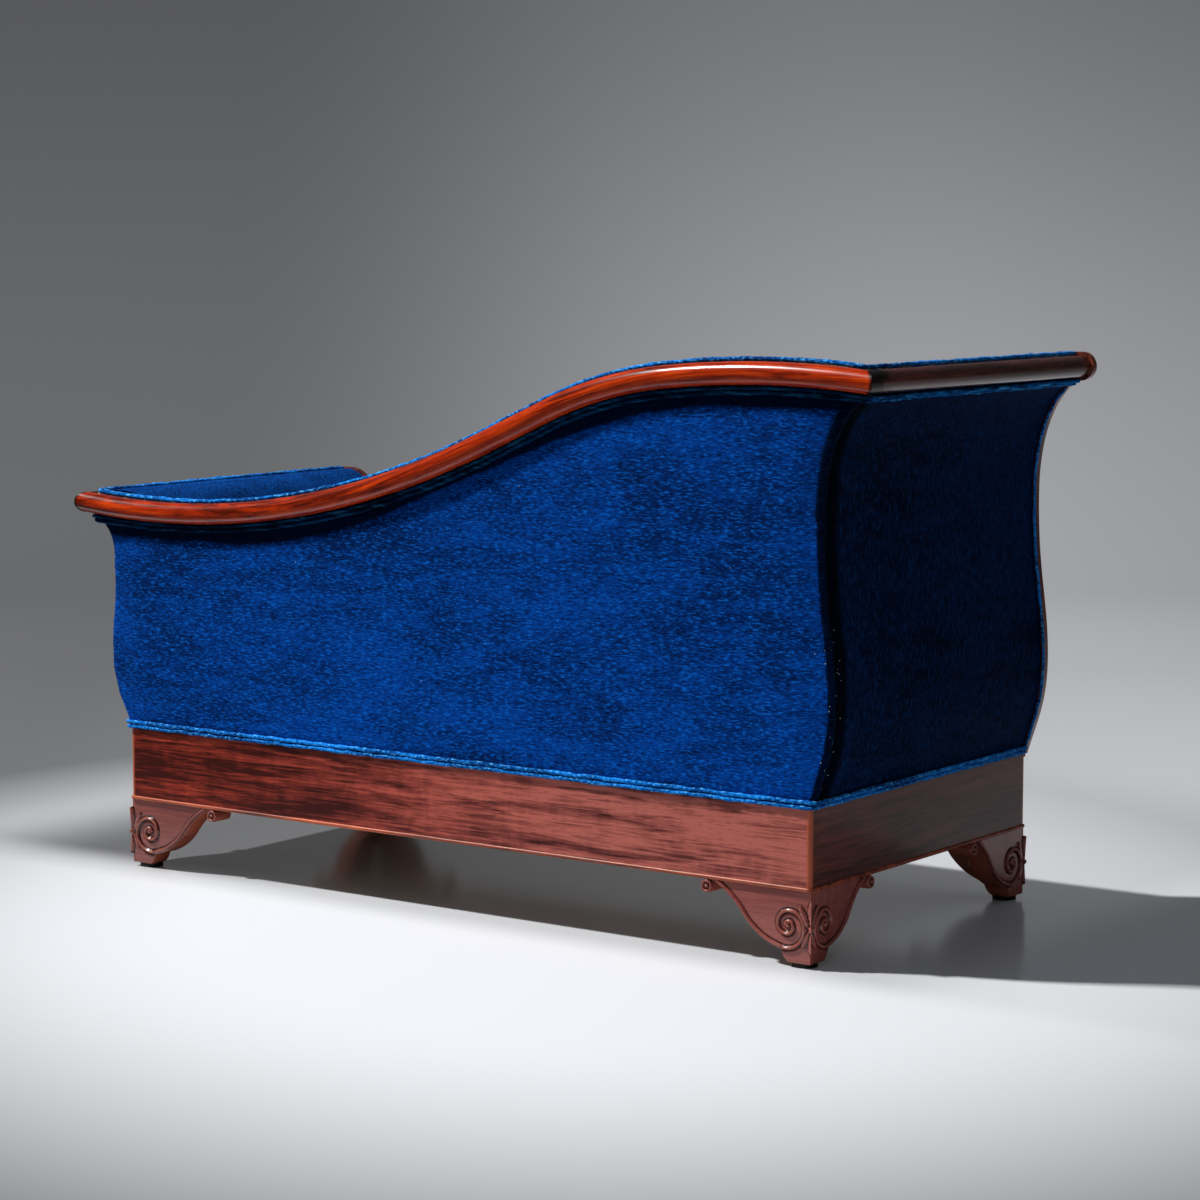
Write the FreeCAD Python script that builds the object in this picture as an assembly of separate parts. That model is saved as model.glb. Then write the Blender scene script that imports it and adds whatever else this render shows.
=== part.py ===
import FreeCAD, Part

import math
import os

# A meridienne: a short day bed with a high end, a low end, and a back rail that
# sweeps between them in one S curve. All sizes are in millimetres.
# X runs along the length with the low end at +X, Y is depth with the back at +Y,
# and Z is up from the floor. The origin is under the middle of the whole object.

# Plinth and the levels that start from it
plinth_length = 1340.0
plinth_depth = 640.0
plinth_height = 120.0
plinth_board = 32.0
plinth_corner_radius = 5.0
bead_radius = 3.0
bead_flat = 0.3
foot_height = 107.0
glide_height = 7.0

# Bracket feet
foot_board = 34.0
foot_long_reach = 190.0
foot_short_reach = 174.0
foot_volute_radius = 10.5
foot_volute_sink = 17.0
foot_knee_share = 0.45
foot_knee_height = 62.0
foot_ankle_width = 50.0
foot_ankle_height = 24.5
foot_toe_width = 41.0
foot_toe_chamfer = 2.0
foot_upper_sag = 5.0
foot_lower_sag = 6.0
foot_throat_sag = 1.5
foot_block_side = 30.0
foot_block_height = 60.0
glide_radius = 19.0
glide_inset = 22.0
glide_nail_radius = 1.6
glide_nail_length = 20.0

# Show rails
rail_radius = 17.0
rail_flat = 10.0
back_rail_overhang = 5.0
roundel_radius = 22.5
roundel_thickness = 4.0
roundel_boss_radius = 8.0
roundel_boss_height = 2.0

# Side curve of each end: distances out from the plinth end, heights above the plinth top
high_rail_height = 852.0
high_overhang = 92.0
high_belly_out = 34.0
high_belly_up = 154.0
high_waist_out = 14.0
high_waist_up = 416.0
low_rail_height = 609.0
low_overhang = 84.0
low_belly_out = 41.0
low_belly_up = 127.0
low_waist_out = 32.5
low_waist_up = 262.0
lip_drop = 20.0
lip_reach = 42.0
lip_rise = 20.0

# How far the side curve's handles reach, as shares of the stretch they shape
start_out_share = 0.5
start_up_share = 0.35
belly_pull = 0.45
belly_push = 0.35
waist_pull = 0.5
waist_push = 0.55
roll_waist_push = 0.7
roll_pull = 0.25

# Curve of the back rail, followed from the low end to the high end
sweep_start_fall = 6.1
sweep_crest_angle = 6.3
sweep_end_fall = 5.6
sweep_crest_share = 0.23
sweep_shoulder_ratio = 0.453
sweep_climb = 2.15

# Frame
frame_board = 28.0
frame_width = 28.0
crest_board_drop = 60.0
crest_board_rise = 16.5
stuffing_rail_height = 45.0
stuffing_rail_up = 66.0
post_width = 60.0
post_count = 3
tenon_depth = 25.0
tenon_thickness = 10.0
tenon_width = 12.0
post_tenon_width = 36.0
ledger_side = 25.0
ledger_up = 26.0
corner_block_side = 70.0
corner_block_height = 60.0
screw_radius = 2.5
screw_head_radius = 4.5
screw_head_height = 3.0
screw_bite = 9.0
screw_spacing_ends = 240.0
screw_spacing_back = 330.0

# Front facings
facing_thickness = 14.0
facing_behind_front = 8.0
facing_proud = 3.0
facing_edge_radius = 4.0

# Upholstery
outer_cover = 5.0
inner_cover = 3.0
hessian = 1.5
roll_radius = 56.0
roll_setback = 30.0
roll_rise = 22.0
end_wall_seat = 48.0
end_wall_waist = 58.0
welt_radius = 3.5
facing_welt_radius = 2.6
facing_welt_lean = 1.12
facing_welt_stop = 32.0
lip_welt_ease = 0.6
seat_front_inset = 4.0
deck_height = 58.0
deck_edge_radius = 10.0
webbing_width = 60.0
webbing_thickness = 1.5
webbing_long_count = 5
webbing_cross_count = 11
webbing_tuck = 12.0

# Seat springs
spring_columns = 5
spring_rows = 2
spring_coil_radius = 36.0
spring_wire_radius = 1.9
spring_turns = 4
spring_biarcs_per_turn = 4

# Loose squab
squab_thickness = 96.0
squab_crown = 14.0
squab_draw_in = 5.0
squab_side_room = 4.0
squab_corner_radius = 26.0
squab_edge_radius = 12.0
piping_radius = 3.5
piping_rim_drop = 9.0

# Clearances
seat_gap = 0.3
hole_gap = 0.1
touch = 0.01

# Levels worked out from the values above
plinth_bottom = glide_height + foot_height
plinth_top = plinth_bottom + plinth_height
beyond = 200.0
top_of_all = max(high_rail_height, low_rail_height) + beyond
mitre_reach = 60.0

# Place of the plinth, so that the whole object is centred on the origin
back_reach = back_rail_overhang + rail_radius
facing_front = facing_thickness - facing_behind_front
front_reach = facing_front + roundel_thickness + roundel_boss_height
plinth_x = (high_overhang - low_overhang) / 2.0
plinth_y = (front_reach - back_reach) / 2.0
back_y = plinth_y + plinth_depth / 2.0
front_y = plinth_y - plinth_depth / 2.0
facing_back_y = front_y + facing_behind_front

# Layers of the upholstered walls, as distances in from the outer surface
frame_outer = outer_cover + seat_gap
frame_inner = frame_outer + frame_width
hessian_outer = frame_inner + seat_gap
pad_outer = hessian_outer + hessian + seat_gap
back_frame_inner = frame_outer + frame_board
back_hessian_outer = back_frame_inner + seat_gap
back_pad_outer = back_hessian_outer + hessian + seat_gap
back_wall = roll_radius + roll_setback - back_rail_overhang
welt_step = 2.0 * welt_radius + seat_gap
over_welt_in = rail_flat + seat_gap
over_welt_up = crest_board_rise + seat_gap + welt_radius
roll_limit = over_welt_in + welt_step + welt_radius + seat_gap
welt_off = welt_radius + seat_gap
under_welt_down = rail_radius + welt_off
facing_welt_out = facing_welt_radius * facing_welt_lean + seat_gap


class End:
    """The sizes of one upholstered end."""

    def __init__(self, name, side, rail_height, overhang, belly, waist):
        self.name = name
        self.side = side
        self.rail_height = rail_height
        self.overhang = overhang
        self.belly_out, self.belly_z = belly[0], plinth_top + belly[1]
        self.waist_out, self.waist_z = waist[0], plinth_top + waist[1]
        self.lip_out = overhang - rail_flat + outer_cover
        self.lip_z = rail_height - lip_drop

    def x(self, out):
        """X of a point that lies a distance out from the plinth's end."""
        return plinth_x + self.side * (plinth_length / 2.0 + out)

    def point(self, out, z):
        return FreeCAD.Vector(self.x(out), 0.0, z)


high = End("high", -1, high_rail_height, high_overhang,
           (high_belly_out, high_belly_up), (high_waist_out, high_waist_up))
low = End("low", 1, low_rail_height, low_overhang,
          (low_belly_out, low_belly_up), (low_waist_out, low_waist_up))
ends = (high, low)


def box(x0, x1, y0, y1, z0, z1):
    corner = FreeCAD.Vector(min(x0, x1), min(y0, y1), min(z0, z1))
    return Part.makeBox(abs(x1 - x0), abs(y1 - y0), abs(z1 - z0), corner)


def polygon_face(points):
    return Part.Face(Part.makePolygon(list(points) + [points[0]]))


def line(start, end):
    return Part.makeLine(start, end)


def bezier(points):
    curve = Part.BezierCurve()
    curve.setPoles(points)
    return curve.toShape()


def arc_with_sag(start, end, sag, normal):
    """An arc whose middle stands a distance off its chord, along the normal."""
    middle = (start + end) * 0.5 + normal * sag
    return Part.Arc(start, middle, end).toShape()


def edges_face(edges):
    return Part.Face(Part.Wire(Part.__sortEdges__(edges)))


def along_y(face, y0, y1):
    """The face, drawn in the plane Y = 0, thickened from y0 to y1."""
    placed = face.copy()
    placed.translate(FreeCAD.Vector(0, y0, 0))
    return placed.extrude(FreeCAD.Vector(0, y1 - y0, 0))


def rod(start, end, radius):
    return Part.makeCylinder(radius, (end - start).Length, start, end - start)


def group(solids):
    parts = []
    for solid in solids:
        parts.extend(solid.Solids)
    return Part.makeCompound(parts)


def only_solid(shape):
    """The largest solid of a boolean result, which has one solid of any size."""
    return max(shape.Solids, key=lambda solid: solid.Volume)


# The S curve of an end, and the regions that it bounds

def ogee_edges(end, inset):
    """The outer side curve from plinth top to lip, moved in by the inset."""
    belly = end.belly_out - inset
    waist = end.waist_out - inset
    lip = end.lip_out - inset
    rise = end.belly_z - plinth_top
    neck = end.waist_z - end.belly_z
    flare = end.lip_z - end.waist_z
    lower = bezier([
        end.point(-inset, plinth_top),
        end.point(end.belly_out * start_out_share - inset, plinth_top + rise * start_up_share),
        end.point(belly, end.belly_z - rise * belly_pull),
        end.point(belly, end.belly_z)])
    middle = bezier([
        end.point(belly, end.belly_z),
        end.point(belly, end.belly_z + neck * belly_push),
        end.point(waist, end.waist_z - neck * waist_pull),
        end.point(waist, end.waist_z)])
    upper = bezier([
        end.point(waist, end.waist_z),
        end.point(waist, end.waist_z + flare * waist_push),
        end.point(lip - lip_reach, end.lip_z - lip_rise),
        end.point(lip, end.lip_z)])
    return [lower, middle, upper]


def ogee_band(end, outer, inner, top):
    """The face between two insets of the side curve, from the plinth to a level."""
    lip_a = end.point(end.lip_out - outer, end.lip_z)
    lip_b = end.point(end.lip_out - inner, end.lip_z)
    edges = ogee_edges(end, outer) + ogee_edges(end, inner)
    edges.append(line(end.point(-outer, plinth_top), end.point(-inner, plinth_top)))
    if top > end.lip_z:
        top_a = end.point(end.lip_out - outer, top)
        top_b = end.point(end.lip_out - inner, top)
        edges += [line(lip_a, top_a), line(top_a, top_b), line(top_b, lip_b)]
    else:
        edges.append(line(lip_a, lip_b))
    return edges_face(edges)


def roll_edges(end, inset):
    """The inner surface of an end, from the plinth top over its rounded top edge."""
    low_out = inset - end_wall_seat
    waist_out = end.waist_out - end_wall_waist + inset
    centre_out = end.overhang - roll_setback
    centre_z = end.rail_height + roll_rise - roll_radius
    radius = roll_radius - inset
    start_out = centre_out - radius
    neck = end.waist_z - end.belly_z
    flare = centre_z - end.waist_z
    limit = end.overhang - roll_limit
    half = math.sqrt(0.5) * radius
    arc_end = end.point(centre_out, centre_z + radius)
    return [
        line(end.point(low_out, plinth_top), end.point(low_out, end.belly_z)),
        bezier([
            end.point(low_out, end.belly_z),
            end.point(low_out, end.belly_z + neck * belly_push),
            end.point(waist_out, end.waist_z - neck * waist_pull),
            end.point(waist_out, end.waist_z)]),
        bezier([
            end.point(waist_out, end.waist_z),
            end.point(waist_out, end.waist_z + flare * roll_waist_push),
            end.point(start_out, centre_z - flare * roll_pull),
            end.point(start_out, centre_z)]),
        Part.Arc(end.point(start_out, centre_z),
                 end.point(centre_out - half, centre_z + half), arc_end).toShape(),
        line(arc_end, end.point(limit, centre_z + radius))]


def roll_region(end, inset):
    """The face between the inner surface and the line where the roll stops."""
    low_out = inset - end_wall_seat
    limit = end.overhang - roll_limit
    top = end.rail_height + roll_rise - inset
    edges = roll_edges(end, inset)
    edges.append(line(end.point(limit, top), end.point(limit, plinth_top)))
    edges.append(line(end.point(limit, plinth_top), end.point(low_out, plinth_top)))
    return edges_face(edges)


def frame_region(end, inset):
    """Everything outside an inset of the side curve, up to the crest board's top."""
    far = end.overhang + beyond
    top = end.rail_height + crest_board_rise + seat_gap
    lip = end.point(end.lip_out - inset, end.lip_z)
    top_in = end.point(end.lip_out - inset, top)
    edges = ogee_edges(end, inset)
    edges += [line(lip, top_in), line(top_in, end.point(far, top))]
    edges.append(line(end.point(far, top), end.point(far, plinth_top)))
    edges.append(line(end.point(far, plinth_top), end.point(-inset, plinth_top)))
    return edges_face(edges)


def between_ends(inset, y0, y1):
    """The space between the two side curves, both moved in by the inset."""
    edges = []
    for end in ends:
        lip = end.point(end.lip_out - inset, end.lip_z)
        edges += ogee_edges(end, inset)
        edges.append(line(lip, end.point(end.lip_out - inset, top_of_all)))
    edges.append(line(high.point(-inset, plinth_top), low.point(-inset, plinth_top)))
    edges.append(line(high.point(high.lip_out - inset, top_of_all),
                      low.point(low.lip_out - inset, top_of_all)))
    return along_y(edges_face(edges), y0, y1)


# The S curve of the back rail, in the plane of the rail's axis

def sweep_shape():
    """Climb angle, hollow radius, straight run and crest radius of the rail's axis."""
    fall = math.radians(sweep_start_fall)
    crest = math.radians(sweep_crest_angle)
    last = math.radians(sweep_end_fall)
    run = low.x(low.overhang) - high.x(high.overhang)
    crest_run = run * sweep_crest_share
    crest_radius = crest_run / (math.sin(crest) + math.sin(last))
    crest_gain = crest_radius * (math.cos(last) - math.cos(crest))
    run -= crest_run
    gain = high_rail_height - low_rail_height - crest_gain
    steep = math.atan(sweep_climb * gain / run)
    run_share = math.sin(steep) + math.sin(fall)
    run_share += sweep_shoulder_ratio * (math.sin(steep) - math.sin(crest))
    gain_share = math.cos(fall) - math.cos(steep)
    gain_share += sweep_shoulder_ratio * (math.cos(crest) - math.cos(steep))
    radius = (run * math.tan(steep) - gain) / (run_share * math.tan(steep) - gain_share)
    return steep, radius, run - radius * run_share, crest_radius


def slope_normal(angle):
    """The direction square to a line that climbs toward the high end at an angle."""
    return FreeCAD.Vector(math.sin(angle), 0, math.cos(angle))


def sweep_pieces():
    """The stretches of the rail's axis: centre or None, start, end, side of the centre."""
    steep, radius, straight, crest_radius = sweep_shape()
    fall_normal = slope_normal(-math.radians(sweep_start_fall))
    steep_normal = slope_normal(steep)
    crest_normal = slope_normal(math.radians(sweep_crest_angle))
    last_normal = slope_normal(-math.radians(sweep_end_fall))
    start = FreeCAD.Vector(low.x(low.overhang), back_y, low_rail_height)
    hollow = start + fall_normal * radius
    climb_start = hollow - steep_normal * radius
    climb_end = climb_start + FreeCAD.Vector(-straight, 0, straight * math.tan(steep))
    shoulder = climb_end - steep_normal * radius * sweep_shoulder_ratio
    crest_start = shoulder + crest_normal * radius * sweep_shoulder_ratio
    crown = crest_start - crest_normal * crest_radius
    last_end = crown + last_normal * crest_radius
    return [
        (hollow, start, climb_start, -1.0),
        (None, climb_start, climb_end, 1.0),
        (shoulder, climb_end, crest_start, 1.0),
        (crown, crest_start, last_end, 1.0)]


rail_axis = sweep_pieces()
start_normal = slope_normal(-math.radians(sweep_start_fall))
end_normal = slope_normal(-math.radians(sweep_end_fall))


def rail_normal(piece, point):
    """The direction square to the rail's axis that points up."""
    centre, start, end, outward = piece
    if centre is None:
        run = end - start
        return FreeCAD.Vector(run.z, 0, -run.x).normalize()
    return (point - centre).normalize() * outward


def parallel_edges(offset):
    """The rail's axis moved up by an offset, as arcs on the same centres."""
    edges = []
    for piece in rail_axis:
        centre, start, end, _ = piece
        a = start + rail_normal(piece, start) * offset
        b = end + rail_normal(piece, end) * offset
        if centre is None:
            edges.append(line(a, b))
            continue
        middle = ((a - centre) + (b - centre)).normalize() * (a - centre).Length + centre
        edges.append(Part.Arc(a, middle, b).toShape())
    return edges


def axis_height(x):
    """Height of the rail's axis at a place along the length."""
    for piece in rail_axis:
        centre, start, end, outward = piece
        if end.x <= x <= start.x:
            if centre is None:
                share = (x - start.x) / (end.x - start.x)
                return start.z + share * (end.z - start.z)
            radius = (start - centre).Length
            return centre.z + outward * math.sqrt(radius ** 2 - (x - centre.x) ** 2)
    return rail_axis[0][1].z if x > 0 else rail_axis[-1][2].z


def below_sweep(offset, y0, y1):
    """Everything under the rail's axis moved up by an offset, down to the plinth."""
    edges = parallel_edges(offset)
    first = edges[0].firstVertex().Point
    last = edges[-1].lastVertex().Point
    far_low = first + FreeCAD.Vector(beyond, 0, 0)
    far_high = last - FreeCAD.Vector(beyond, 0, 0)
    ground_low = FreeCAD.Vector(far_low.x, back_y, plinth_top)
    ground_high = FreeCAD.Vector(far_high.x, back_y, plinth_top)
    edges += [line(first, far_low), line(far_low, ground_low)]
    edges += [line(last, far_high), line(far_high, ground_high), line(ground_low, ground_high)]
    face = edges_face(edges)
    face.translate(FreeCAD.Vector(0, -back_y, 0))
    return along_y(face, y0, y1)


def start_place(out, up):
    """A point of a section at the low end: out from the back plane, up from the axis."""
    return rail_axis[0][1] + FreeCAD.Vector(0, out, 0) + start_normal * up


def end_place(out, up):
    """The same point of the section at the high end."""
    return rail_axis[-1][2] + FreeCAD.Vector(0, out, 0) + end_normal * up


def swept(section):
    """A section carried along the rail and straight on past both corners."""
    path = Part.Wire(parallel_edges(0.0))
    body = path.makePipeShell([Part.Wire(section(start_place))], True, False)
    low_way = FreeCAD.Vector(start_normal.z, 0, -start_normal.x) * mitre_reach
    high_way = FreeCAD.Vector(-end_normal.z, 0, end_normal.x) * mitre_reach
    low_tail = Part.Face(Part.Wire(section(start_place))).extrude(low_way)
    high_tail = Part.Face(Part.Wire(section(end_place))).extrude(high_way)
    return body.fuse([low_tail, high_tail]).removeSplitter()


# Mitres at the two back corners

def mitre_corner(end):
    """Where the two rails' axes meet in plan."""
    return end.x(end.overhang), back_y + back_rail_overhang


def back_wedge():
    """The plan of the back's side of the two corner mitres."""
    reach = mitre_reach
    hx, yb = mitre_corner(high)
    lx = mitre_corner(low)[0]
    deep = back_rail_overhang + back_wall
    points = [(hx - reach, yb + reach), (lx + reach, yb + reach),
              (lx - deep, yb - deep), (hx + deep, yb - deep)]
    face = polygon_face([FreeCAD.Vector(x, y, 0) for x, y in points])
    return face.extrude(FreeCAD.Vector(0, 0, top_of_all))


def end_wedge(end, gap, depth):
    """The plan of an end's side of the mitre, which stops at a depth inside the corner."""
    x, yb = mitre_corner(end)
    inward = -end.side
    far_x = x + inward * (end.overhang + beyond)
    start = (x - inward * mitre_reach, yb + mitre_reach - gap)
    turn = (x + inward * (depth - gap), yb - depth)
    points = [start, turn, (far_x, yb - depth), (far_x, front_y - mitre_reach),
              (x - inward * mitre_reach, front_y - mitre_reach)]
    face = polygon_face([FreeCAD.Vector(px, py, 0) for px, py in points])
    return face.extrude(FreeCAD.Vector(0, 0, top_of_all))


def pad_wedge(end):
    """The end's side of the mitre for its padding, clear of the back's padding."""
    return end_wedge(end, 2.0 * seat_gap, back_rail_overhang + back_wall + seat_gap)


def rail_wedge(end):
    """The end's side of the mitre for its rail and cords, face to face with the back's."""
    return end_wedge(end, 0.0, beyond)


# Plinth

def plinth_mitre(side_x, side_y):
    """The quarter of the plinth's plan that belongs to one board."""
    half_x = plinth_length / 2.0
    half_y = plinth_depth / 2.0
    reach = plinth_board
    if side_y:
        edge_y = side_y * (half_y + reach)
        points = [(-half_x - reach, edge_y), (half_x + reach, edge_y),
                  (half_x - half_y, 0), (-half_x + half_y, 0)]
    else:
        edge_x = side_x * (half_x + reach)
        points = [(edge_x, -half_y - reach), (edge_x, half_y + reach),
                  (side_x * (half_x - half_y), 0)]
    face = polygon_face([FreeCAD.Vector(plinth_x + x, plinth_y + y, 0) for x, y in points])
    return face.extrude(FreeCAD.Vector(0, 0, top_of_all))


def upright_edges(shape):
    return [edge for edge in shape.Edges
            if edge.BoundBox.XLength < touch and edge.BoundBox.YLength < touch]


def level_edges(shape):
    return [edge for edge in shape.Edges if edge.BoundBox.ZLength < touch]


def plinth_outline(grow, z0, z1, radius):
    """The plinth's plan, grown by a distance, as a block with rounded corners."""
    block = box(high.x(grow), low.x(grow), front_y - grow, back_y + grow, z0, z1)
    return block.makeFillet(radius, upright_edges(block))


def make_plinth_ring():
    outer = plinth_outline(0.0, plinth_bottom, plinth_top, plinth_corner_radius)
    inner = box(high.x(-plinth_board), low.x(-plinth_board),
                front_y + plinth_board, back_y - plinth_board, plinth_bottom, plinth_top)
    ring = outer.cut(inner)
    for _, _, mortise in tenons():
        ring = ring.cut(mortise)
    return ring


def make_plinth_board(side_x, side_y):
    return only_solid(make_plinth_ring().common(plinth_mitre(side_x, side_y)))


def bead_loop(z, radius):
    """A half round strip round the plinth, standing on its face."""
    outer = plinth_outline(radius, z, z + 2.0 * radius, plinth_corner_radius + radius)
    rounded = outer.makeFillet(radius - bead_flat, level_edges(outer))
    return rounded.cut(plinth_outline(0.0, z, z + 2.0 * radius, plinth_corner_radius))


def make_plinth_beads():
    low_bead = bead_loop(plinth_bottom, bead_radius)
    strips = []
    for side_x, side_y in ((0, 1), (0, -1), (1, 0), (-1, 0)):
        strips.append(low_bead.common(plinth_mitre(side_x, side_y)))
    top_bead = bead_loop(plinth_top - 2.0 * bead_radius, bead_radius)
    strips.append(top_bead.common(plinth_mitre(0, -1)))
    return group(strips)


def make_corner_blocks():
    blocks = []
    z0 = plinth_bottom + ledger_up + ledger_side
    for end in ends:
        for inner_y, way in ((back_y - plinth_board, -1), (front_y + plinth_board, 1)):
            corner = FreeCAD.Vector(end.x(-plinth_board), inner_y, z0)
            along_x = corner + FreeCAD.Vector(-end.side * corner_block_side, 0, 0)
            along_depth = corner + FreeCAD.Vector(0, way * corner_block_side, 0)
            face = polygon_face([corner, along_x, along_depth])
            blocks.append(face.extrude(FreeCAD.Vector(0, 0, corner_block_height)))
    return group(blocks)


def make_seat_ledgers():
    z0 = plinth_bottom + ledger_up
    z1 = z0 + ledger_side
    x0, x1 = high.x(-plinth_board), low.x(-plinth_board)
    y0, y1 = front_y + plinth_board, back_y - plinth_board
    return group([
        box(x0, x1, y1 - ledger_side, y1, z0, z1),
        box(x0, x1, y0, y0 + ledger_side, z0, z1),
        box(x0, x0 + ledger_side, y0 + ledger_side, y1 - ledger_side, z0, z1),
        box(x1 - ledger_side, x1, y0 + ledger_side, y1 - ledger_side, z0, z1)])


# Bracket feet

def inward_of(start, end):
    """The direction square to a falling edge that points into the foot."""
    run = end - start
    return FreeCAD.Vector(run.z, 0, -run.x).normalize()


def foot_profile(reach):
    """One face of a foot: t runs from the corner, the curve falls from tip to ankle."""
    def at(t, z):
        return FreeCAD.Vector(t, 0, z)
    top = plinth_bottom
    floor = glide_height
    tip = at(reach - foot_volute_sink, top)
    knee_t = foot_ankle_width + (reach - foot_ankle_width) * foot_knee_share
    knee = at(knee_t, foot_knee_height)
    ankle = at(foot_ankle_width, foot_ankle_height)
    toe = at(foot_toe_width, floor + foot_toe_chamfer)
    heel = at(foot_toe_width - foot_toe_chamfer, floor)
    edges = [
        line(at(0, top), tip),
        arc_with_sag(tip, knee, foot_upper_sag, inward_of(tip, knee)),
        arc_with_sag(knee, ankle, -foot_lower_sag, inward_of(knee, ankle)),
        arc_with_sag(ankle, toe, foot_throat_sag, inward_of(ankle, toe)),
        line(toe, heel), line(heel, at(0, floor)), line(at(0, floor), at(0, top))]
    return Part.Face(Part.Wire(edges))


def foot_wing(reach):
    """A bracket board along +X from its corner, its show face in the plane Y = 0."""
    board = foot_profile(reach).extrude(FreeCAD.Vector(0, -foot_board, 0))
    centre = FreeCAD.Vector(reach - foot_volute_radius, 0, plinth_bottom - foot_volute_radius)
    volute = Part.makeCylinder(foot_volute_radius, foot_board, centre, FreeCAD.Vector(0, -1, 0))
    return board.fuse(volute).removeSplitter()


def glide_spot(end, way):
    face_y = back_y if way > 0 else front_y
    return FreeCAD.Vector(end.x(-glide_inset), face_y - way * glide_inset, 0)


def foot_boards(end, way):
    """The two mitred boards of one foot; way is +1 at the back and -1 at the front."""
    face_y = back_y if way > 0 else front_y
    corner = FreeCAD.Vector(end.x(0), face_y, 0)
    far = foot_long_reach + beyond
    inner = corner + FreeCAD.Vector(-end.side * far, -way * far, 0)
    long_edge = corner + FreeCAD.Vector(-end.side * far, 0, 0)
    short_edge = corner + FreeCAD.Vector(0, -way * far, 0)
    short_wing = foot_wing(foot_short_reach).mirror(FreeCAD.Vector(), FreeCAD.Vector(1, 1, 0))
    nail = glide_spot(end, way) + FreeCAD.Vector(0, 0, glide_height)
    hole = Part.makeCylinder(glide_nail_radius + hole_gap, glide_nail_length + seat_gap, nail)
    boards = []
    for wing, edge in ((foot_wing(foot_long_reach), long_edge), (short_wing, short_edge)):
        if end.side > 0:
            wing = wing.mirror(FreeCAD.Vector(), FreeCAD.Vector(1, 0, 0))
        if way < 0:
            wing = wing.mirror(FreeCAD.Vector(), FreeCAD.Vector(0, 1, 0))
        wing.translate(corner)
        wedge = polygon_face([corner, edge, inner]).extrude(FreeCAD.Vector(0, 0, plinth_top))
        boards.append(only_solid(wing.common(wedge).cut(hole)))
    return boards


def make_foot(end, way):
    return group(foot_boards(end, way))


def make_foot_blocks():
    blocks = []
    for end in ends:
        for face_y, way in ((back_y, 1), (front_y, -1)):
            x0 = end.x(-foot_board)
            y0 = face_y - way * foot_board
            blocks.append(box(x0, x0 - end.side * foot_block_side, y0, y0 - way * foot_block_side,
                              plinth_bottom - foot_block_height, plinth_bottom))
    return group(blocks)


def make_glides():
    glides = []
    for end in ends:
        for way in (1, -1):
            spot = glide_spot(end, way)
            disc = Part.makeCylinder(glide_radius, glide_height, spot)
            nail = Part.makeCylinder(glide_nail_radius, glide_nail_length,
                                     spot + FreeCAD.Vector(0, 0, glide_height))
            glides.append(disc.fuse(nail).removeSplitter())
    return group(glides)


# Frame

def upright_span(end, way):
    """The Y range of the front or the back upright of an end."""
    if way < 0:
        return facing_back_y + seat_gap, facing_back_y + seat_gap + frame_board
    return back_y - frame_outer - frame_board, back_y - frame_outer


def post_places():
    x0 = high.x(high.waist_out - frame_inner)
    x1 = low.x(low.waist_out - frame_inner)
    step = (x1 - x0) / (post_count + 1)
    return [x0 + step * (i + 1) for i in range(post_count)]


def tenons():
    """Each upright's and post's tenon: owner, tenon block, mortise block."""
    rows = []
    for end in ends:
        for way in (-1, 1):
            y0, y1 = upright_span(end, way)
            x = end.x(-frame_outer - frame_width / 2.0)
            rows.append(((end.name, way), x, (y0 + y1) / 2.0, tenon_thickness, tenon_width))
    y = back_y - frame_outer - tenon_width
    for i, x in enumerate(post_places()):
        rows.append((("post", i), x, y, post_tenon_width, tenon_thickness))
    blocks = []
    for owner, x, y, size_x, size_y in rows:
        tenon = centred_box(x, y, size_x, size_y, plinth_top - tenon_depth)
        mortise = centred_box(x, y, size_x + 2.0 * hole_gap, size_y + 2.0 * hole_gap,
                              plinth_top - tenon_depth - seat_gap)
        blocks.append((owner, tenon, mortise))
    return blocks


def centred_box(x, y, size_x, size_y, z0):
    """A block about a place in plan, from a level up to the plinth's top."""
    half_x, half_y = size_x / 2.0, size_y / 2.0
    return box(x - half_x, x + half_x, y - half_y, y + half_y, z0, plinth_top)


def tenon_of(owner):
    return [tenon for name, tenon, _ in tenons() if name == owner][0]


def make_upright(end, way):
    top = end.rail_height + crest_board_rise
    y0, y1 = upright_span(end, way)
    board = along_y(ogee_band(end, frame_outer, frame_inner, top), y0, y1)
    if way > 0:
        board = only_solid(board.common(below_sweep(crest_board_rise, y0, y1)))
    return board.fuse(tenon_of((end.name, way))).removeSplitter()


def end_slice(end, z0, z1):
    """A stretch of an end's frame between its uprights, from one level to another."""
    top = end.rail_height + crest_board_rise
    y0 = upright_span(end, -1)[1]
    y1 = upright_span(end, 1)[0]
    whole = along_y(ogee_band(end, frame_outer, frame_inner, top), y0, y1)
    level = box(end.x(-beyond), end.x(beyond), y0, y1, z0, z1)
    return only_solid(whole.common(level))


def make_crest_board(end):
    z1 = end.rail_height + crest_board_rise
    board = end_slice(end, end.rail_height - crest_board_drop, z1)
    return board.cut(screw_holes_end(end))


def make_stuffing_rail(end):
    z0 = plinth_top + stuffing_rail_up
    return end_slice(end, z0, z0 + stuffing_rail_height)


def back_frame_space(y0, y1):
    return between_ends(frame_inner, y0, y1)


def make_back_crest_board():
    y0, y1 = back_y - back_frame_inner, back_y - frame_outer
    band = below_sweep(crest_board_rise, y0, y1).cut(below_sweep(-crest_board_drop, y0, y1))
    board = only_solid(band.common(back_frame_space(y0, y1)))
    return board.cut(screw_holes_back())


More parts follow.
